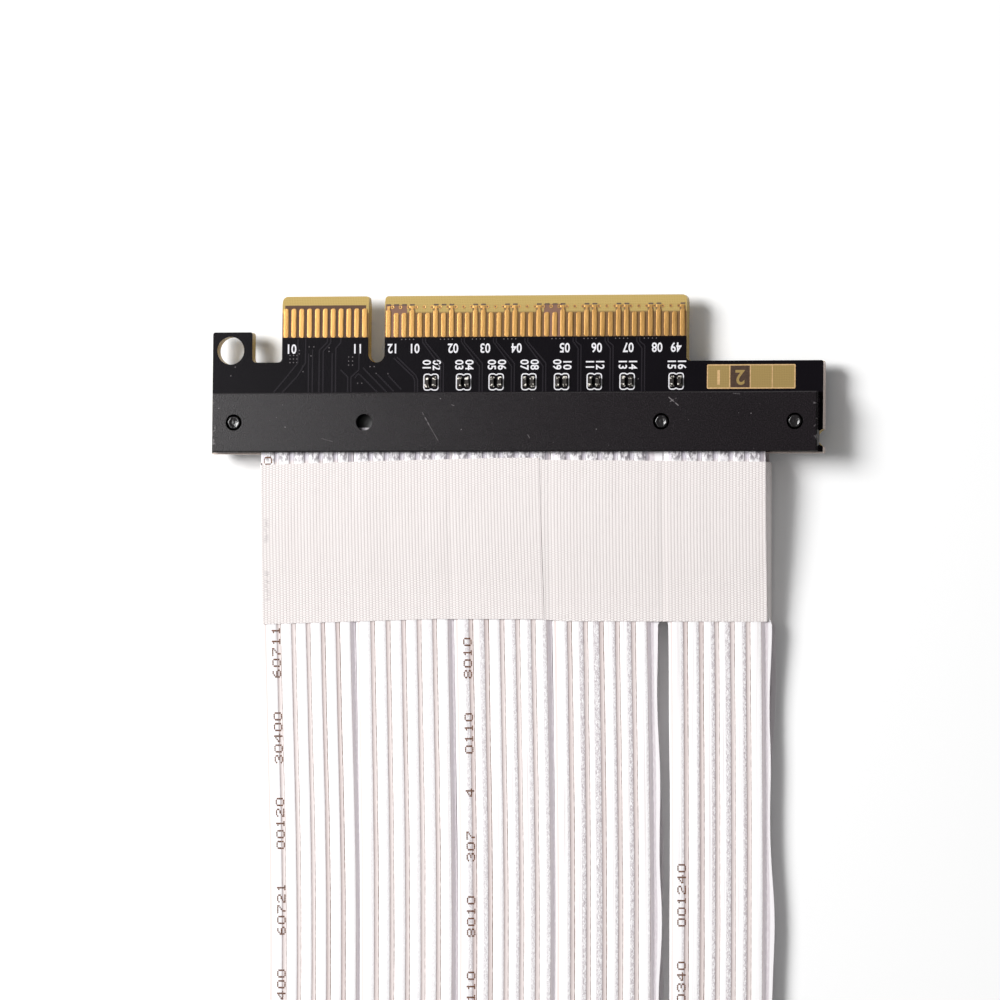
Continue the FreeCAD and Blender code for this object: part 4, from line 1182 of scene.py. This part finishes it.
def lathe(name, rings, centre, turned_over, sides, corners, finish):
    """A closed turned shape from rings of radius and height in millimetres, with slight corners."""
    points = []
    for radius, height in rings:
        z = COVER_STACK - height if turned_over else height
        for k in range(sides):
            angle = 2.0 * math.pi * k / sides
            reach = radius * (1.0 + corners * math.cos(6.0 * angle))
            spot = Vector((centre[0] + reach * math.cos(angle), centre[1] + reach * math.sin(angle), z))
            points.append(spot * MM)
    mesh = bpy.data.meshes.new(name)
    mesh.from_pydata(points, [], tube_faces(len(rings), sides))
    for face in mesh.polygons:
        face.use_smooth = len(face.vertices) == 4
    return finish_mesh(mesh, finish)


head_black = grained(
    "pressed_head", 3000.0, 1.2, (14, 12, 13), (30, 27, 29), relief=0.03, rough=("Grain", 0.12, 0.24),
    Specular_IOR_Level=0.6,
)
hole_fill_black = grained(
    "hole_fill_black", 2600.0, 1.2, (5, 4, 5), (12, 11, 12), relief=0.02, Specular_IOR_Level=0.25, Roughness=0.4
)
heads = []
for row, turned_over in POST_ROWS:
    heads += [lathe("post_tip", TIP_RINGS, (x, row), turned_over, 36, 0.035, head_black) for x in POSTS]
    heads.append(lathe("hole_fill", FILL_RINGS, (OPEN_HOLE, row), turned_over, 32, 0.0, hole_fill_black))
add_piece("post_tips", heads)


# Wire ends: the bared pairs of every ribbon, tinned and soldered under the covers, in a row on each face of
# both boards.
tin, tree, shader = new_material("tinned_wire", Metallic=1.0)
drawn = noise_at(stretch(own_place(tree), (1.0, 0.1, 1.0)), 6000.0, 3.0)
feed(shader["Base Color"], blend(drawn, paint(168, 166, 164), paint(228, 226, 222)))
feed(shader["Roughness"], from_to(drawn, 0.22, 0.42))
for wires in ("plug_front_wires", "plug_rear_wires", "socket_front_wires", "socket_rear_wires"):
    dress(wires, tin)


# Socket board: a second card of the same laminate and mask, for the slot. It has a fixing hole at each
# end, with a bare ring round it for the screw's head, and numbers at the slot's two ends.
socket_low, socket_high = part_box("socket_board")
SLOT_ROW = -87.55
FIXING = 35.22
RING_RADIUS = 2.15
RING_STEPS = 40
SLOT_NUMBER_ROW = -92.6
SLOT_NUMBERS = (("01", -33.6), ("11", -19.1), ("12", -16.1), ("49", 22.6))
SLOT_OUTLINE = [(-32.6, -91.6), (24.4, -91.6), (24.4, -83.5), (-32.6, -83.5)]
SOCKET_FACE = socket_high.z
SOCKET_INK = SOCKET_FACE + 0.4 * INK_HEIGHT * MM
dress("socket_board", board_black)
rings = []
for side in (-1, 1):
    angles = [2.0 * math.pi * k / RING_STEPS for k in range(RING_STEPS)]
    rings.append([
        (side * FIXING + RING_RADIUS * math.cos(angle), SLOT_ROW + RING_RADIUS * math.sin(angle))
        for angle in angles
    ])
extras = []
for face in (SOCKET_FACE, socket_low.z):
    extras.append(run_paths("fixing_rings", rings, face, tin, 0.95, 0.03, closed=True))
for words, across in SLOT_NUMBERS:
    extras.append(number_mesh(words, 1.62, 0.84, (across, SLOT_NUMBER_ROW), 0.0, SOCKET_INK, ink))
runs = []
for lane in LANES:
    for beside in (0.0, PAIR_GAP):
        start = lane - 0.4 + beside
        runs.append([(start, -80.6), (start, -81.6), (start + 0.8, -82.6), (start + 0.8, -83.7)])
extras.append(run_paths("socket_traces", runs, SOCKET_FACE, trace_mask, TRACE_WIDTH, TRACE_HEIGHT, 0.2, 2))
outline = run_paths("slot_outline", [SLOT_OUTLINE], SOCKET_INK, ink, 0.18, INK_HEIGHT, 0.4, 3, closed=True)
extras.append(outline)
add_piece("socket_board_details", extras)


# Slot: a moulded housing of glass-filled plastic that takes a card's edge, with a key wall and two rows of
# sprung, gold-plated contacts. Bars between the contacts stand along both lips of its mouth.
SLOT_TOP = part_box("slot_housing")[1].z
LIP_ROW = 2.3
BAR_SINK = 0.05
slot_black = grained(
    "slot_black", 4200.0, 1.6, (15, 14, 16), (33, 31, 34), relief=0.012, rough=("Cloud", 0.28, 0.42),
    Specular_IOR_Level=0.45,
)
dress("slot_housing", slot_black)
bars = []
for row in (FIRST_ROW, LATER_ROW):
    seats = [row[0] + (i - 0.5) * CONTACT_PITCH for i in range(len(row) + 1)]
    for side in (-1, 1):
        bars += [(x, (SLOT_ROW + side * LIP_ROW) * MM, SLOT_TOP - BAR_SINK * MM) for x in seats]
add_piece("slot_comb", [pads("lip_bars", bars, slot_black, 0.42, 1.7, 0.35, 0.08)])
dress("slot_contacts_near", gold)
dress("slot_contacts_far", gold)


# Camera: above the plug and to its right, a long way off, so that the lines of the cable stay nearly parallel.
# Its turn and its lens are fitted to the photo.
SENSOR = 36.0
camera_data = bpy.data.cameras.new("view")
camera_data.sensor_fit = "HORIZONTAL"
camera_data.sensor_width = SENSOR
camera_data.lens = SENSOR * 8.1604
camera_data.clip_start = 0.05
camera = bpy.data.objects.new("view", camera_data)
turn = Matrix.Rotation(math.radians(13.0), 4, "Y") @ Matrix.Rotation(math.radians(2.6), 4, "X")
turn = turn @ Matrix.Rotation(math.radians(0.559), 4, "Z")
aim = Vector((-1.63 * MM, 70.45 * MM, 4.0 * MM))
camera.matrix_world = Matrix.Translation(aim) @ turn @ Matrix.Translation((0.0, 0.0, 1.0))
show(camera)
bpy.context.scene.camera = camera


# Studio: a white table that keeps the soft shadow, one wide lamp at the upper left, a small soft box hung
# nearer on the same side, and a pale room all round.
TABLE_HALF = 1.5
floor_mesh = bpy.data.meshes.new("table")
corners = [(x * TABLE_HALF, y * TABLE_HALF, 0.0) for x, y in ((-1, -1), (1, -1), (1, 1), (-1, 1))]
floor_mesh.from_pydata(corners, [], [(0, 1, 2, 3)])
floor = bpy.data.objects.new("table", floor_mesh)
floor.location.z = -0.02 * MM
show(floor)
floor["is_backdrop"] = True
table_white, tree, shader = new_material("table_white", Roughness=0.9, Specular_IOR_Level=0.0)
shader["Base Color"].default_value = (0.9, 0.9, 0.9, 1.0)
light_path = add_node(tree, "ShaderNodeLightPath").outputs
seen = maths("MAXIMUM", light_path["Is Camera Ray"], light_path["Is Glossy Ray"])
seen = maths("MAXIMUM", seen, light_path["Is Transmission Ray"])
shader["Emission Color"].default_value = (1.0, 1.0, 1.0, 1.0)
feed(shader["Emission Strength"], times(seen, 0.06))
floor_mesh.materials.append(table_white)

world = bpy.data.worlds.new("room")
bpy.context.scene.world = world
world.use_nodes = True
room = world.node_tree.nodes["Background"].inputs
room["Color"].default_value = (1.0, 1.0, 1.0, 1.0)
room["Strength"].default_value = 0.2


def add_lamp(name, shape, width, length, energy, spot, aim):
    """An area lamp at a spot, turned to what it lights."""
    data = bpy.data.lights.new(name, "AREA")
    data.shape = shape
    data.size = width
    data.size_y = length
    data.energy = energy
    lamp = bpy.data.objects.new(name, data)
    lamp.location = spot
    lamp.rotation_euler = (Vector(aim) - lamp.location).to_track_quat("-Z", "Y").to_euler()
    show(lamp)


add_lamp("wide_lamp", "DISK", 0.5, 0.5, 11.9, (-0.66, 0.34, 0.70), (0.0, 0.05, 0.0))
add_lamp("soft_box", "RECTANGLE", 0.12, 0.14, 0.31, (-0.20, 0.10, 0.36), (0.0, 0.07, 0.0))

bpy.context.scene.view_settings.view_transform = "Standard"

bpy.context.view_layer.update()
low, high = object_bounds()
